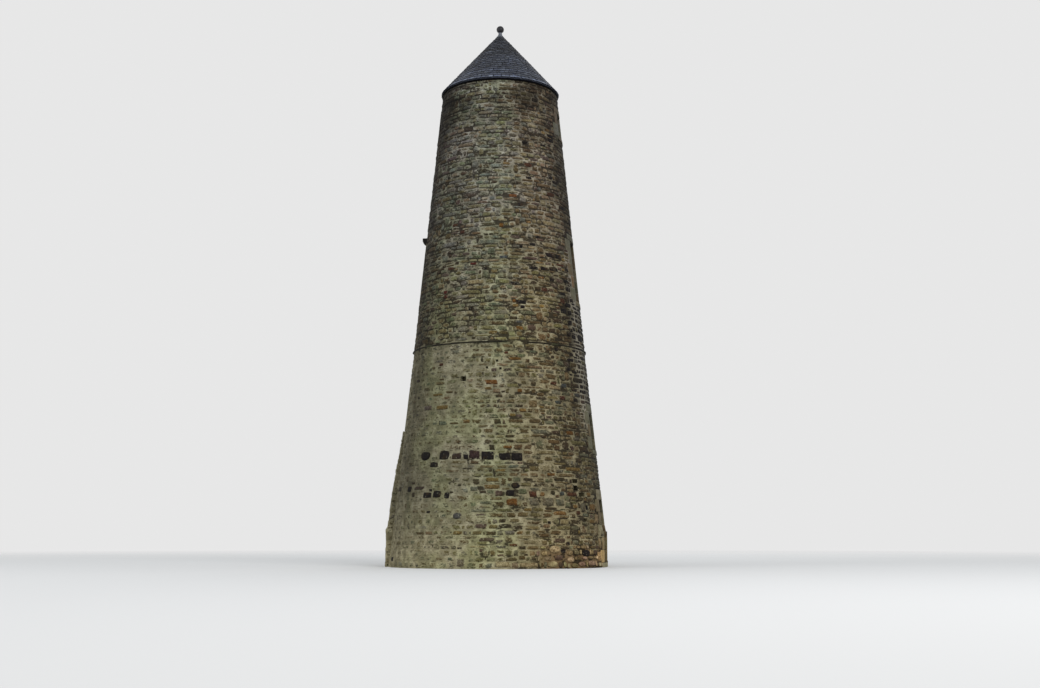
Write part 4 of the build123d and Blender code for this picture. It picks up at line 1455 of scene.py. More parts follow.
    def set_stone(self, stone: Stone) -> None:
        """Trim a stone, split it where it is too tall for its place, and set it.

        Args:
            stone: The stone as its course gives it.
        """
        wide = (stone.right - stone.left) * float(self.shape.face(stone.bottom))
        tall = stone.top - stone.bottom
        parts = [stone]
        if tall > self.split_over[1] and wide > self.split_over[0] and self.dice.random() < self.split_share:
            middle = stone.bottom + float(self.dice.uniform(*self.split_at)) * tall
            parts = [replace(stone, top=middle), replace(stone, bottom=middle)]
        for part in parts:
            if self.trim(part):
                self.mason.look(part)
                self.stones.append(part)

    def line(self, course: np.ndarray, turn: np.ndarray) -> np.ndarray:
        """How far course lines wander from level.

        Args:
            course: Number of each line.
            turn: Azimuths, a row for each line.

        Returns:
            The rise at each azimuth.
        """
        phases, bounds, level = (np.array(values)[course] for values in (self.phases, self.bounds, self.lines))
        room = np.minimum(level - bounds[:, 0], bounds[:, 1] - level)
        calm = np.clip(room / self.calm_room, 0, 1)[:, None]
        return calm * sum(size * np.sin(waves * turn + phases[:, [n]]) for n, (waves, size) in enumerate(self.wobble))

    def shell(self, stones: Sequence[Stone]) -> Carcass:
        """Wrap template stones round the wall.

        Args:
            stones: The stones to make.

        Returns:
            Their points and faces, with tints and wear.
        """
        count, squared = len(stones), StonePatterns.squared
        names = ("left", "right", "bottom", "top", "gap", "proud")
        left, right, bottom, top, gap, proud = (each(stones, name) for name in names)
        course, rounded = each(stones, "course")[:, 0].astype(int), each(stones, "rounded")[:, 0].astype(bool)
        pick = self.dice.integers(0, squared, count)
        pick[rounded] = squared + self.dice.integers(0, len(self.templates) - squared, rounded.sum())
        local = self.templates[pick]
        flip = self.dice.choice([-1.0, 1.0], (count, 1))
        u, v, depth = local[:, :, 0] * flip, local[:, :, 1] * flip, local[:, :, 2]
        middle = (bottom + top) / 2
        radius = self.shape.face(middle)
        half_wide = np.maximum((right - left) / 2 - gap / 2 / radius, 0.01 / radius)
        laid = course >= 0
        shear = self.dice.normal(0, self.shear, (count, 1)) * laid[:, None]
        turn = (left + right) / 2 + (u + shear * v) * half_wide
        low, high = bottom + gap / 2, top - gap / 2
        height = low + (high - low) * (v + 1) / 2
        rows = course[laid]
        foot, head = (np.array(self.lines)[numbers][:, None] for numbers in (rows, rows + 1))
        sags, rises = self.line(rows, turn[laid]), self.line(rows + 1, turn[laid])
        height[laid] += sags + (rises - sags) * np.clip((middle[laid] - foot) / (head - foot), 0, 1)
        tip = self.dice.normal(0, self.tip, (count, 2))
        rise = (self.bury + proud) * depth - self.bury + (tip[:, [0]] * u + tip[:, [1]] * v) * depth
        in_apron = np.abs(np.mod(turn, 2 * pi) - pi) < self.apron.half_angle
        reach = self.shape.face(height) + rise + np.where(in_apron, self.apron.outreach(height), 0.0)
        points = np.stack([reach * np.cos(turn), reach * np.sin(turn), np.maximum(height, 0.0)], axis=2)
        gathered = Carcass()
        gathered.add(points, self.faces, self.tint(stones), self.wear(stones, v))
        return gathered

    def tint(self, stones: Sequence[Stone]) -> np.ndarray:
        """Colours of stones, with the strength of their crevices as alpha.

        Args:
            stones: The stones.

        Returns:
            Four values for each stone.
        """
        colours = np.array([linear(*stone.kind.value) for stone in stones])
        spread = np.exp(self.dice.normal(0, self.tint_spread, (len(stones), 3)))
        colours[:, :3] *= self.fresh * each(stones, "bright") * spread
        colours[:, 3:] = each(stones, "crevice_shadow")
        return colours

    def wear(self, stones: Sequence[Stone], up: np.ndarray) -> np.ndarray:
        """How the points of stones are worn.

        Args:
            stones: The stones.
            up: Place of each point from foot to head.

        Returns:
            Three values for each point: in from the rim, cover, and the place from foot to head.
        """
        rim, cover = (np.broadcast_to(values, up.shape) for values in (self.rim, each(stones, "cover")))
        return np.stack([rim, cover, up], axis=2)

    def quoins(self, bands: Sequence[Pair]) -> Carcass:
        """Lay stones on the two upright sides of the apron, where it stands out from the wall.

        Args:
            bands: Levels of the apron's bands.

        Returns:
            Their points and faces, with tints and wear.
        """
        levels = [line for line, band in zip(self.lines, self.bounds) if band in bands]
        gathered = Carcass()
        for sign in (1.0, -1.0):
            edge = pi + sign * self.apron.half_angle
            radial, along = np.array([cos(edge), sin(edge)]), sign * np.array([-sin(edge), cos(edge)])
            pairs = [pair for pair in zip(levels, levels[1:]) if pair[1] - pair[0] > self.smallest]
            stones = [Stone(edge, edge, *pair) for pair in pairs]
            for stone in stones:
                self.mason.look(stone)
            low, high = each(stones, "bottom"), each(stones, "top")
            local = self.templates[self.dice.integers(0, StonePatterns.squared, len(stones))]
            u, v, depth = -sign * local[:, :, 0], local[:, :, 1], local[:, :, 2]
            height = (low + high) / 2 + v * (high - low - self.return_gap) / 2
            inner, outreach = self.shape.face(height), self.apron.outreach(height)
            reach = inner + outreach / 2 + u * (outreach + self.return_depth) / 2
            out = (self.bury + self.return_relief) * depth - self.bury
            flat = reach[:, :, None] * radial + out[:, :, None] * along
            points = np.concatenate([flat, np.maximum(height, 0.0)[:, :, None]], axis=2)
            gathered.add(points, self.faces, self.tint(stones), self.wear(stones, v))
        return gathered

    def build(self) -> None:
        """Lay the wall and deliver it in slices."""
        self.block_openings()
        self.set_found_stones()
        edge, (foot, shoulder, neck, _, head) = self.apron.half_angle, self.apron.heights
        self.lay(foot, head, -pi + edge, pi - edge)
        bands = [(foot, shoulder), (shoulder, neck), (neck, head)]
        for low, high in bands:
            self.lay(low, high, pi - edge, pi + edge)
        self.lay(head, self.shape.ledge_bottom)
        self.lay(self.shape.ledge_top, self.shape.wall_top)
        slices: dict[str, list[Stone]] = {}
        for stone in self.stones:
            sector = int(((degrees((stone.left + stone.right) / 2) + 30) % 360) // 60)
            stage = "lower" if stone.bottom < self.shape.ledge_bottom else "upper"
            slices.setdefault(f"{stage}_rubble_{self.sectors[sector]}", []).append(stone)
        for name, stones in sorted(slices.items()):
            self.shell(stones).deliver(name, RUBBLE, "rubble", smooth=True)
        self.quoins(bands).deliver("apron_quoins", RUBBLE, "rubble", smooth=True)


@dataclass(frozen=True)
class Side:
    """One of the two sides with openings: depth runs out of the wall and along runs across it."""

    name: str
    sign: int
    openings: tuple[Opening, ...]
    shape: TowerShape
    apron: Apron
    proud: float = 0.015
    plumb_height: float = 1.15
    plumb_projection: float = 0.06
    reveal_depth: float = 0.17

    def place(self, shape: Shape) -> Shape:
        """Turn a shape, drawn with depth on X and along on Y, into the tower's frame."""
        if self.sign < 0:
            bmesh.ops.rotate(shape, verts=shape.verts, matrix=Matrix.Rotation(pi, 3, "Z"))
        return shape

    def face(self, height: float) -> float:
        """Radius of the faces of the dressed stones at a height.

        Args:
            height: The height.

        Returns:
            The radius, with the plumb stones of the east doorway and the apron of the west one.
        """
        radius = float(self.shape.face(height))
        if self.sign < 0 and height <= self.openings[1].foot:
            radius += float(self.apron.outreach(min(height, self.apron.heights[-1])))
        elif self.sign > 0 and height < self.plumb_height:
            radius = float(self.shape.face(self.plumb_height)) + self.plumb_projection
        return radius + self.proud

    def surface(self, height: float, along: float) -> float:
        """Depth of the faces of the dressed stones at a height and a place along."""
        return sqrt(self.face(height) ** 2 - along**2)

    def frame_front(self, opening: Opening) -> float:
        """Depth of the front of an opening's frame."""
        return float(self.shape.face(opening.head)) - self.reveal_depth


@dataclass
class DressedStones:
    """Tooled blocks round the openings of one side, a little proud of the mortar between them."""

    side: Side
    joint: float = 0.009
    skin: float = 0.005
    arris: float = 0.012
    buried: float = 0.12
    facet: float = 0.16
    lap: float = 0.003
    sill_projection: float = 0.012
    # Painted shade in the reveals, darkest towards the head.
    reveal_shade_levels: tuple[float, ...] = (0.9, 1.05, 1.3, 1.9, 2.1)
    reveal_shades: tuple[tuple[float, float, float], ...] = (
        (0.75, 0.72, 0.6), (0.5, 0.4, 0.33), (0.34, 0.25, 0.2), (0.28, 0.21, 0.18), (0.1, 0.08, 0.08)
    )
    tones: tuple[Tone, ...] = (MOSSY_BLOCK, LIGHT_BLOCK, PITTED_BLOCK, OCHRE_BLOCK)
    seed: int = 5

    def block(self, box: Box, extra: float = 0.0) -> Shape:
        """Cut one block with a face that follows the wall.

        Args:
            box: Its left, right, bottom and top, across the opening's middle line.
            extra: How much further out its face stands.

        Returns:
            The block, with softened arrises.
        """
        left, right, bottom, top = box
        wide, tall = right - left - self.joint, top - bottom - self.joint
        shape = cube((1, wide, tall), (0, (left + right) / 2, (bottom + top) / 2))
        divide(shape, 1, max(1, int(wide / self.facet)))
        for vert in shape.verts:
            radius = self.side.face(min(max(vert.co.z, bottom + 0.001), top - 0.001)) + extra + self.skin
            surface = sqrt(radius**2 - vert.co.y**2)
            vert.co.x = surface if vert.co.x > 0 else surface - self.buried - extra
        soften(shape, self.arris)
        return shape

    def build(self) -> None:
        """Cut and deliver the blocks of the side."""
        dice = np.random.default_rng(self.seed)
        blocks = Carcass()
        for opening in self.side.openings:
            sill, lintel, *jambs = opening.stones()
            for box in jambs + [sill] + ([] if opening.hooded else [lintel]):
                shape = self.block(box, self.sill_projection if box is sill else 0.0)
                if box not in (sill, lintel):
                    self.lap_reveal(shape, opening, box[0] < 0)
                tone = self.tones[dice.integers(0, len(self.tones))]
                if opening.near_tones and self.side.sign > 0 and box[0] < 0 and box[2] >= opening.foot:
                    tone = opening.near_tones[round((box[2] - opening.foot) * opening.jamb_stones / opening.height)]
                blocks.add_mesh(self.side.place(shape), linear(*tone), self.shader(opening))
        blocks.deliver(f"{self.side.name}_dressed_blocks", BLOCKS, "dressed_stone")

    def shader(self, opening: Opening) -> Callable[[Vector], Sequence[float]]:
        """Tell how much of a block's colour is kept at a point: its reveal is darkened with painted shade, with a
        reddish-brown cast.

        Args:
            opening: The block's opening.

        Returns:
            A function from a point to the shares of red, green and blue.
        """
        edge = opening.width / 2 + 1.5 * self.arris

        def shade(point: Vector) -> Sequence[float]:
            """Look at one point."""
            behind = abs(point.x) < self.side.surface(point.z, point.y) - 0.8 * self.arris
            if not (behind and abs(point.y) < edge and opening.foot - 0.01 < point.z < opening.head + 0.02):
                return (1.0, 1.0, 1.0)
            return [float(np.interp(point.z, self.reveal_shade_levels, tone)) for tone in zip(*self.reveal_shades)]

        return shade

    def lap_reveal(self, shape: Shape, opening: Opening, at_left: bool) -> None:
        """Draw a jamb block's reveal face a little into the opening and back to the frame.

        Args:
            shape: The block.
            opening: Its opening.
            at_left: Whether the block stands at the left of the opening.
        """
        lap = self.joint / 2 + self.lap
        for vert in shape.verts:
            if abs(abs(vert.co.y) - (opening.width / 2 + self.joint / 2)) < self.arris * 1.2:
                vert.co.y += lap if at_left else -lap
        for vert in shape.verts:
            if vert.co.x < self.side.surface(vert.co.z, vert.co.y) - self.buried / 2 - 0.02:
                vert.co.x = min(vert.co.x, self.side.frame_front(opening) - 0.01)


@dataclass
class BoardedDoor:
    """A closed door of upright boards with strap hinges, a latch plate and a ring."""

    side: Side
    node: str
    boards: int = 5
    board_depth: float = 0.028
    board_gap: float = 0.001
    board_edge: float = 0.004
    ledges: tuple[float, ...] = (0.11, 0.5, 0.89)
    ledge_half: float = 0.075
    ledge_inset: float = 0.03
    strap_height: float = 0.055
    strap_depth: float = 0.007
    strap_share: float = 0.62
    strap_taper: float = 0.55
    iron_edge: float = 0.002
    studs: int = 4
    stud_radius: float = 0.011
    stud_start: float = 0.06
    stud_gap: float = 0.15
    latch_share: float = 0.48
    latch_half: float = 0.07
    latch_sides: Pair = (0.11, 0.05)
    ring_radius: float = 0.045
    ring_thickness: float = 0.006
    ring_place: Pair = (0.014, 0.08)

    def __post_init__(self) -> None:
        """Measure the plain leaf that the boards replace."""
        low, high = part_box(self.node)
        self.back, self.front = sorted((abs(low.x), abs(high.x)))
        self.half, self.foot, self.tall = high.y, low.z, high.z - low.z
        self.head = high.z

    def level(self, share: float) -> float:
        """Level at a share of the leaf's height."""
        return self.foot + share * self.tall

    def build(self) -> None:
        """Make the leaf and its ironwork."""
        self.deliver(self.leaf(), "leaf", DOOR_BOARDS, self.node)
        self.deliver(self.straps() + self.latch(), "ironwork", IRON)

    def deliver(self, shapes: Sequence[Shape], title: str, finish: Finish, *nodes: str) -> None:
        """Gather shapes into one piece.

        Args:
            shapes: The shapes, drawn with depth on X.
            title: What the piece is called after the leaf's node.
            finish: Its finish.
            *nodes: The CAD nodes that it stands for.
        """
        gathered = Carcass()
        for shape in shapes:
            gathered.add_mesh(self.side.place(shape))
        gathered.deliver(f"{self.node}_{title}", finish, "door_paint", *nodes)

    def leaf(self) -> list[Shape]:
        """Cut the boards and the ledges behind them."""
        inner, wide = self.front - self.board_depth, 2 * self.half / self.boards
        gap, inset, tall = self.board_gap, self.ledge_inset, self.ledge_half
        lefts = [-self.half + number * wide for number in range(self.boards)]
        levels = [self.level(share) for share in self.ledges]
        corners = [((inner, left + gap, self.foot), (self.front, left + wide - gap, self.head)) for left in lefts]
        corners += [
            ((self.back, -self.half + inset, level - tall), (inner, self.half - inset, level + tall))
            for level in levels
        ]
        return [bar(Vector(low), Vector(high), self.board_edge) for low, high in corners]

    def straps(self) -> list[Shape]:
        """Forge the tapered strap hinges with their studs."""
        shapes = []
        for level in (self.level(self.ledges[0]), self.level(self.ledges[-1])):
            low = Vector((self.front - 0.002, -self.half + 0.01, level - self.strap_height / 2))
            high = Vector((self.front + self.strap_depth, self.half * self.strap_share, level + self.strap_height / 2))
            strap = bar(low, high, self.iron_edge)
            for vert in strap.verts:
                along = (vert.co.y + self.half) / ((1 + self.strap_share) * self.half)
                vert.co.z = level + (vert.co.z - level) * (1 - self.strap_taper * along)
            shapes.append(strap)
            for number in range(self.studs):
                stud = bmesh.new()
                bmesh.ops.create_uvsphere(stud, u_segments=8, v_segments=5, radius=self.stud_radius)
                place = (self.front + self.strap_depth, -self.half + self.stud_start + self.stud_gap * number, level)
                bmesh.ops.translate(stud, vec=place, verts=stud.verts)
                shapes.append(stud)
        return shapes

    def latch(self) -> list[Shape]:
        """Forge the latch plate and the ring that hangs on it."""
        level, (outer, inner) = self.level(self.latch_share), self.latch_sides
        low = Vector((self.front - 0.002, self.half - outer, level - self.latch_half))
        high = Vector((self.front + 0.005, self.half - inner, level + self.latch_half))
        ring = bmesh.new()
        bmesh.ops.create_circle(ring, radius=self.ring_thickness, segments=8)
        quarter_turn(ring, "X")
        bmesh.ops.translate(ring, vec=(0, self.ring_radius, 0), verts=ring.verts)
        quarter_turn(ring, "Z")
        bmesh.ops.spin(
            ring, geom=ring.edges[:], cent=(0, 0, 0), axis=(0, 1, 0), angle=2 * pi, steps=20, use_merge=True
        )
        quarter_turn(ring, "Z")
        bmesh.ops.recalc_face_normals(ring, faces=ring.faces)
        out, aside = self.ring_place
        place = (self.front + out, self.half - aside, level - self.ring_radius)
        bmesh.ops.translate(ring, vec=place, verts=ring.verts)
        return [bar(low, high, self.iron_edge), ring]


@dataclass
class WindowBars:
    """Glazing bars in the windows of one side: one upright and one or more across."""

    side: Side
    frame_face: float = 0.075
    frame_depth: float = 0.1
    rebate: float = 0.004
    bar_face: float = 0.026
    bar_depth: float = 0.036
    bar_edge: float = 0.006
    pane_height: float = 0.33

    def build(self) -> None:
        """Make the bars."""
        bars = Carcass()
        for opening in (self.side.openings[1], self.side.openings[3]):
            middle = self.side.frame_front(opening) - self.frame_depth / 2
            half = opening.width / 2 - self.frame_face + self.rebate
            foot, head = opening.foot + self.frame_face - self.rebate, opening.head - self.frame_face + self.rebate
            rows = round((head - foot) / self.pane_height)
            sizes = [((self.bar_depth, self.bar_face, head - foot), (foot + head) / 2)]
            for row in range(1, rows):
                sizes.append(((self.bar_depth, 2 * half, self.bar_face), foot + (head - foot) * row / rows))
            for size, level in sizes:
                shape = cube(size, (middle, 0, level))
                soften(shape, self.bar_edge)
                bars.add_mesh(self.side.place(shape))
        bars.deliver(f"{self.side.name}_glazing_bars", FRAME_TIMBER, "frame_paint")


@dataclass
class LedgeCourse:
    """Thin dark slabs round the tower on a mortar bed, some broken back to the wall."""

    shape: TowerShape
    slabs: int = 58
    depth: float = 0.3
    thickness: float = 0.046
    projection: float = 0.052
    broken_projection: float = 0.006
    broken_sides: Pair = (-72.5, -63.0)
    joint: float = 0.0024
    arris: float = 0.01
    ragged: float = 0.012
    tone: Tone = (58, 52, 40)
    # Share of a slab's colour kept below a line near its middle, as painted shadow.
    lower_part_shade: float = 0.12
    bed_depth: float = 0.6
    bed_steps: int = 180
    seed: int = 11

    def build(self) -> None:
        """Make the slabs and the bed under and over them."""
        dice = np.random.default_rng(self.seed)
        joints = np.sort(np.linspace(-pi, pi, self.slabs, endpoint=False) + dice.uniform(-0.02, 0.02, self.slabs))
        slabs = Carcass()
        for start, end in zip(joints, np.append(joints[1:], joints[0] + 2 * pi)):
            broken = self.broken_sides[0] < degrees((start + end) / 2) < self.broken_sides[1]
            reach = self.broken_projection if broken else self.projection * dice.uniform(0.82, 1.1)
            tall = self.thickness * dice.uniform(0.82, 1.12)
            level = (self.shape.ledge_bottom + self.shape.ledge_top) / 2 + dice.normal(0, 0.004)
            tone = tuple(np.array(linear(*self.tone)) * np.exp(dice.normal(0, 0.25)))
            slab = self.slab((start + end) / 2, end - start - self.joint, self.shape.ledge_radius + reach, tall, dice)
            bmesh.ops.translate(slab, vec=(0, 0, level), verts=slab.verts)
            slabs.add_mesh(slab, tone, self.shader(level + 0.1 * tall))
        slabs.deliver("ledge_slabs", BLOCKS, "ledge_stone", "ledge_course")
        self.bed().deliver("ledge_bedding", MORTAR, "ledge_stone")

    def shader(self, shade_line: float) -> Callable[[Vector], Sequence[float]]:
        """Keep a slab's colour above a level and darken it below with painted shadow.

        Args:
            shade_line: The level.

        Returns:
            A function from a point to the shares of red, green and blue.
        """

        def shade(point: Vector) -> Sequence[float]:
            """Look at one point."""
            return (1.0 if point.z > shade_line else self.lower_part_shade,) * 3

        return shade

    def slab(self, middle: float, arc: float, reach: float, tall: float, dice: np.random.Generator) -> Shape:
        """Split one slab with an uneven edge.

        Args:
            middle: Azimuth of its middle.
            arc: The angle that it takes up.
            reach: Radius of its outer edge.
            tall: Its thickness.
            dice: Random numbers.

        Returns:
            The slab, about level 0.
        """
        shape = cube((self.depth, arc * reach, tall), (0, 0, 0))
        divide(shape, 1, 5)
        soften(shape, self.arris)
        shift = float(dice.uniform(0, 40))
        for vert in shape.verts:
            turn = middle + vert.co.y / reach
            radius = reach + vert.co.x - self.depth / 2
            if vert.co.x > 0:
                radius += self.ragged * noise.noise(Vector((vert.co.y * 9 + shift, vert.co.z * 20, 0)))
            vert.co = (radius * cos(turn), radius * sin(turn), vert.co.z)
        return shape

    def bed(self) -> Carcass:
        """Spin the mortar that the slabs lie in, with a fillet below their edge."""
        outer, low, high = self.shape.ledge_radius, self.shape.ledge_bottom, self.shape.ledge_top
        inner = outer - self.bed_depth
        section = [
            (inner, low), (outer + 0.012, low - 0.03), (outer + 0.02, low + 0.01),
            (outer + 0.004, high - 0.012), (outer + 0.004, high + 0.03), (inner, high),
        ]
        ring = spun(section, self.bed_steps)
        bmesh.ops.recalc_face_normals(ring, faces=ring.faces)
        bed = Carcass()
        bed.add_mesh(ring)
        return bed


@dataclass
class SlateRoof:
    """Overlapping slates in diminishing courses over a boarded cone."""

    edge_radius: float
    edge_height: float = 16.182
    apex_height: float = 18.49
    top_radius: float = 0.07
    gauges: Pair = (0.145, 0.105)
    slated_share: float = 0.955
    width: float = 0.14
    fewest: int = 7
    lap: float = 2.1
    thickness: float = 0.009
    bed_drop: float = 0.022
    tail_lift: float = 0.024
    tail_share: float = 0.12
    tail_shade: float = 0.1
    worn_corner: float = 0.03
    bevelled_tail: float = 0.008
    eaves_course: float = 1.7
    underlay_drop: float = 0.03
    underlay_thickness: float = 0.012
    underlay_steps: int = 120
    seed: int = 23
    dark_stops: Stops = ((0.12, 1.08), (0.6, 0.4))
    tones: tuple[Tone, ...] = ((63, 69, 84), (69, 75, 89), (57, 62, 77), (79, 85, 97), (51, 56, 70))

    def __post_init__(self) -> None:
        """Work out the slope's rise to a metre of radius and its length."""
        self.slope = (self.apex_height - self.edge_height) / self.edge_radius
        self.along = hypot(self.edge_radius, self.apex_height - self.edge_height)

    def line(self, radius: np.ndarray | float) -> np.ndarray | float:
        """Height of the slates' line at some radii."""
        return self.apex_height - radius * self.slope

    def build(self) -> None:
        """Lay the slates on their underlay and deliver them."""
        dice = np.random.default_rng(self.seed)
        template, faces = self.template()
        roof = Carcass()
        start = 0.0
        while start < self.along * self.slated_share:
            gauge = between(start / self.along, ((0, self.gauges[0]), (1, self.gauges[1])))
            points, tones = self.course(template, start, gauge, dice)
            roof.add(points, faces, tones)
            start += gauge
        self.underlay(roof)
        roof.deliver("laid_slates", SLATE, "slate", "roof_slates")

    def course(
        self, template: np.ndarray, start: float, gauge: float, dice: np.random.Generator
    ) -> tuple[np.ndarray, np.ndarray]:
        """Lay one course of slates.

        Args:
            template: Points of the slate that is laid.
            start: How far up the slope the course starts.
            gauge: How much of its slates shows.
            dice: Random numbers.

        Returns:
            The points of its slates and their tones.
        """
        count = max(self.fewest, round(2 * pi * self.edge_radius * (1 - start / self.along) / self.width))
        turns = (np.arange(count) + dice.uniform(0, 1) + dice.uniform(-0.12, 0.12, count)) * 2 * pi / count
        length = min(gauge * self.lap, self.along - start - 0.01)
        wide = (2 * pi / count) * dice.uniform(0.94, 0.985, (count, 1))
        lift = self.tail_lift * dice.uniform(0.8, 1.15, (count, 1))
        drop = dice.normal(0, 0.006, (count, 1))
        u, v, w = template.T
        run = start + drop + v * length
        radius = np.maximum(self.edge_radius * (1 - run / self.along), 0.012)
        turn = turns[:, None] + u * wide / 2
        raised = lift * (1 - v) + w * self.thickness
        flat = np.cos(wide / 2) / np.maximum(np.cos(u * wide / 2), 0.2)
        reach = radius * flat + raised * self.slope / hypot(1, self.slope)
        height = self.line(radius) + raised / hypot(1, self.slope) - self.bed_drop
        points = np.stack([reach * np.cos(turn), reach * np.sin(turn), height], axis=2)
        tones = np.array([linear(*self.tones[pick]) for pick in dice.integers(0, len(self.tones), count)])
        # Slates are darker up the slope, and the eaves course is lighter.
        slope_tone = between(start / self.along, self.dark_stops) * (self.eaves_course if start == 0 else 1.0)
        tones[:, :3] *= slope_tone * np.exp(dice.normal(0, 0.22, (count, 1)) + dice.normal(0, 0.2))
        shades = np.where(v < self.tail_share * 0.7, self.tail_shade, 1.0)[:, None] * np.ones(4)
        shades[:, 3] = 1.0
        return points, tones[:, None] * shades

    def template(self) -> tuple[np.ndarray, list[list[int]]]:
        """Split one slate: across from -1 to 1, up the slope from 0 to 1, thickness 0 to 1.

        Returns:
            Its points and faces.
        """
        shape = cube((2, 1, 1), (0, 0.5, 0.5))
        divide(shape, 0, 2)
        for place in (self.tail_share * 0.6, self.tail_share):
            everything = shape.verts[:] + shape.edges[:] + shape.faces[:]
            bmesh.ops.bisect_plane(shape, geom=everything, plane_co=(0, place, 0), plane_no=(0, 1, 0))
        for vert in shape.verts:
            if abs(vert.co.x) > 0.9 and vert.co.y < 0.02:
                vert.co.y += self.worn_corner
            if vert.co.z < 0.5 and vert.co.y < 0.02:
                vert.co.y += self.bevelled_tail
        bmesh.ops.recalc_face_normals(shape, faces=shape.faces)
        return taken(shape)

    def underlay(self, roof: Carcass) -> None:
        """Spin the shell that closes the roof under the slates.

        Args:
            roof: What the shell is added to.
        """
        ends, drops = (self.top_radius, self.edge_radius - 0.012), (self.underlay_drop, self.underlay_thickness)
        upper, lower = ([(end, self.line(end) - drop) for end in ends] for drop in (drops[0], sum(drops)))
        shell = spun(upper + lower[::-1], self.underlay_steps)
        bmesh.ops.recalc_face_normals(shell, faces=shell.faces)
        roof.add_mesh(shell, linear(*self.tones[2]))


@dataclass
class LeadCap:
    """The dressed lead on the roof's point, with a wavy edge, and the ball on its neck."""

    roof: SlateRoof
    skirt_radius: float = 0.135
    neck_radius: float = 0.062
    cap_height: float = 18.53
    waves: int = 11
    steps: int = 66

    def build(self) -> None:
        """Spin the cap, dress its edge and deliver it."""
        top, neck, edge, line = self.cap_height, self.neck_radius, self.skirt_radius, self.roof.line
        profile = [
            (0.0, top), (neck, top), (neck, top - 0.035), (neck + 0.004, top - 0.06), (neck + 0.018, line(0.1) + 0.05),
            (edge - 0.01, line(edge) + 0.022), (edge, line(edge) + 0.006), (edge - 0.004, line(edge) - 0.004),
            (0.05, line(0.05) - 0.02), (0.0, line(0.05) - 0.02),
        ]
        cap = spun(profile, self.steps, closed=False)
        bmesh.ops.remove_doubles(cap, verts=cap.verts, dist=1e-5)
        for vert in cap.verts:
            radius = hypot(vert.co.x, vert.co.y)
            if radius > 0.1:
                turn = atan2(vert.co.y, vert.co.x)
                swell = 1 + 0.05 * sin(self.waves * turn) + 0.03 * sin(3 * turn + 1)
                height = vert.co.z - line(radius) + line(radius * swell)
                vert.co = (vert.co.x * swell, vert.co.y * swell, height)
        bmesh.ops.recalc_face_normals(cap, faces=cap.faces)
        gathered = Carcass()
        gathered.add_mesh(cap)
        gathered.deliver("dressed_lead", LEAD, "lead", "lead_cap", smooth=True)
        dress_node("ball_finial", BALL_METAL)


@dataclass(frozen=True)
class CarriedOver:
    """The CAD nodes that show as they are, by parts of their names, with their finishes."""

    finishes: tuple[tuple[str, Finish], ...] = (
        ("_wall_", MORTAR), ("_jamb_stones", MORTAR), ("_lintels", MORTAR), ("_sills", MORTAR),
        ("_door_frames", FRAME_TIMBER), ("_window_frames", FRAME_TIMBER), ("_window_glass", GLASS),
        ("ground_floor", FLAGS), ("first_floor", FLOOR_BOARDS), ("upper_floor", FLOOR_BOARDS),
        ("top_floor", FLOOR_BOARDS), ("wall_plate", ROOF_TIMBER), ("roof_rafters", ROOF_TIMBER),
        ("roof_boarding", ROOF_TIMBER), ("eaves_fascia", BLACK_PAINT), ("west_hood_stone", HOOD_STONE),
    )

    def build(self) -> None:
        """Dress the walls' mortar and every node that stays."""
        for node in sorted(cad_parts):
            for part, finish in self.finishes:
                if part in node:
                    dress_node(node, finish)


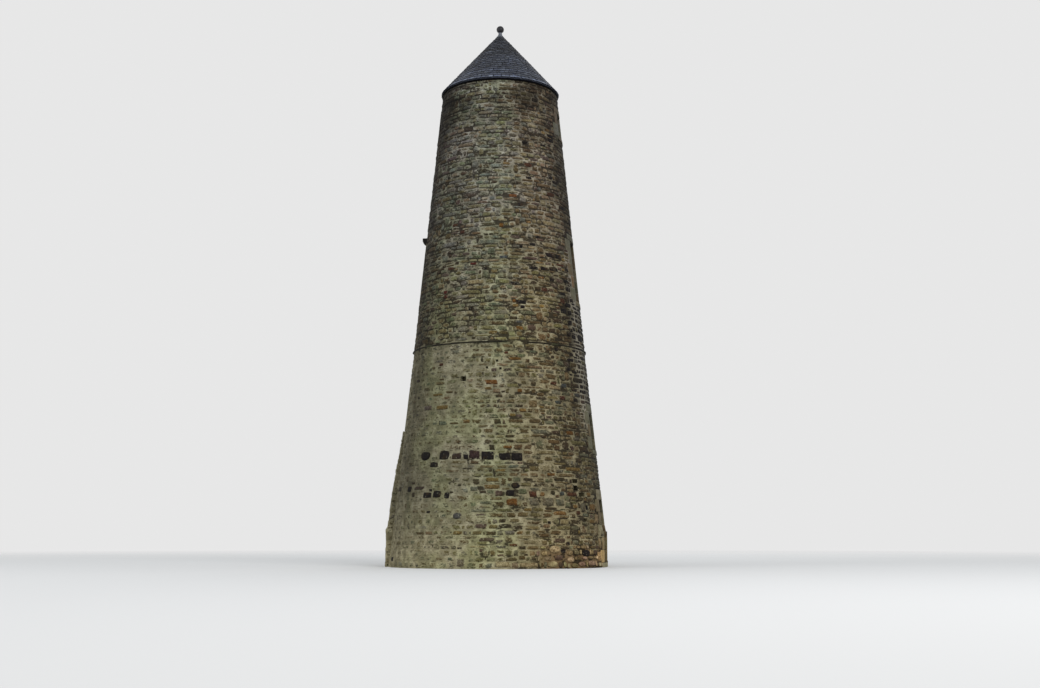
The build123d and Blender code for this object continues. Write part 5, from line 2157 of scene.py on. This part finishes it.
@dataclass(frozen=True)
class Studio:
    """Pale floor and backdrop, soft lights, and the camera where the photograph was taken."""

    distance: float = 43.7
    stand: float = radians(10.5)
    eye_height: float = 0.983
    tilt: float = 0.147
    focal_pixels: float = 1300.0
    image_width: float = 1040.0
    axis_pixel: float = 499.3
    sensor_width: float = 36.0
    farthest: float = 1000.0
    floor_radius: float = 400.0
    floor_fade: Pair = (12, 60)
    floor_tone: float = 0.78
    sky_tone: float = 0.8
    daylight: Colour = (0.95, 0.98, 1.0, 1)
    daylight_strength: float = 0.62
    lamp_size: float = 24
    lamp_target: tuple[float, float, float] = (0, 0, 8)
    lamps: tuple[tuple[str, tuple[float, float, float], float], ...] = (
        ("key", (26, -34, 30), 9200), ("fill", (-34, -26, 18), 3600), ("rear", (0, 40, 30), 3600)
    )

    def build(self) -> None:
        """Make the floor, the lights, the sky and the camera."""
        self.floor()
        self.sky()
        for name, place, power in self.lamps:
            self.lamp(name, place, power)
        self.camera()
        bpy.context.scene.view_settings.view_transform = "Standard"

    def floor(self) -> None:
        """Lay a wide pale floor that fades into the sky far from the tower."""
        disc = bmesh.new()
        bmesh.ops.create_circle(disc, cap_ends=True, radius=self.floor_radius, segments=96)
        mesh = bpy.data.meshes.new("studio_floor")
        disc.to_mesh(mesh)
        disc.free()
        mixing = Recipe("studio_floor")
        diffuse = mixing.node("ShaderNodeBsdfDiffuse", {"Color": (*(self.floor_tone,) * 3, 1)})
        clear = mixing.node("ShaderNodeBsdfTransparent")
        gone = mixing.node("ShaderNodeVectorMath", {0: mixing.place}, operation="LENGTH").outputs["Value"]
        fade = mixing.step(gone, *self.floor_fade)
        blend = mixing.node("ShaderNodeMixShader", {0: fade, 1: diffuse.outputs[0], 2: clear.outputs[0]})
        mixing.node("ShaderNodeOutputMaterial", {"Surface": blend.outputs[0]})
        mesh.materials.append(mixing.material)
        put("studio_floor", mesh)

    def sky(self) -> None:
        """Light the scene evenly and show a pale backdrop behind it."""
        world = bpy.data.worlds.new("studio")
        world.use_nodes = True
        bpy.context.scene.world = world
        tree = world.node_tree
        tree.nodes.clear()
        rays = add_node(tree, "ShaderNodeLightPath").outputs
        direct = rays["Is Camera Ray"]
        for other in ("Is Glossy Ray", "Is Transmission Ray"):
            direct = add_node(tree, "ShaderNodeMath", {0: direct, 1: rays[other]}, operation="MAXIMUM").outputs[0]
        light = add_node(tree, "ShaderNodeBackground", {"Color": self.daylight, "Strength": self.daylight_strength})
        seen = add_node(tree, "ShaderNodeBackground", {"Color": (*(self.sky_tone,) * 3, 1)})
        blend = add_node(tree, "ShaderNodeMixShader", {0: direct, 1: light.outputs[0], 2: seen.outputs[0]})
        add_node(tree, "ShaderNodeOutputWorld", {"Surface": blend.outputs[0]})

    def lamp(self, name: str, place: tuple[float, float, float], power: float) -> None:
        """Hang a large soft lamp that shines on the middle of the tower.

        Args:
            name: The lamp's name.
            place: Where it hangs.
            power: Its power in watts.
        """
        data = bpy.data.lights.new(name, "AREA")
        data.size, data.energy = self.lamp_size, power
        lamp = put(name, data)
        lamp.location = place
        lamp.rotation_euler = (Vector(self.lamp_target) - Vector(place)).to_track_quat("-Z", "Y").to_euler()

    def camera(self) -> None:
        """Stand the camera at the photograph's place with its lens and tilt."""
        data = bpy.data.cameras.new("camera")
        data.sensor_width = self.sensor_width
        data.lens = self.focal_pixels / self.image_width * data.sensor_width
        data.clip_end = self.farthest
        camera = put("camera", data)
        camera.location = (self.distance * sin(self.stand), -self.distance * cos(self.stand), self.eye_height)
        yaw = atan2(self.image_width / 2 - self.axis_pixel, self.focal_pixels)
        camera.rotation_euler = (pi / 2 + self.tilt, 0, self.stand - yaw)
        bpy.context.scene.camera = camera


def main() -> None:
    """Build every sub-assembly in order and report each piece."""
    logging.basicConfig(level=logging.INFO, format="%(message)s")
    shape, apron = TowerShape.from_frame(), Apron()
    Studio().build()
    CarriedOver().build()
    RubbleWall(shape, apron).build()
    LedgeCourse(shape).build()
    for name, sign, openings in (("east", 1, EAST_OPENINGS), ("west", -1, WEST_OPENINGS)):
        side = Side(name, sign, openings, shape, apron)
        DressedStones(side).build()
        for door in ("ground_door", "upper_door"):
            BoardedDoor(side, f"{name}_{door}").build()
        WindowBars(side).build()
    roof = SlateRoof(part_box("roof_slates")[1].x)
    roof.build()
    LeadCap(roof).build()


if __name__ == "__main__":
    main()
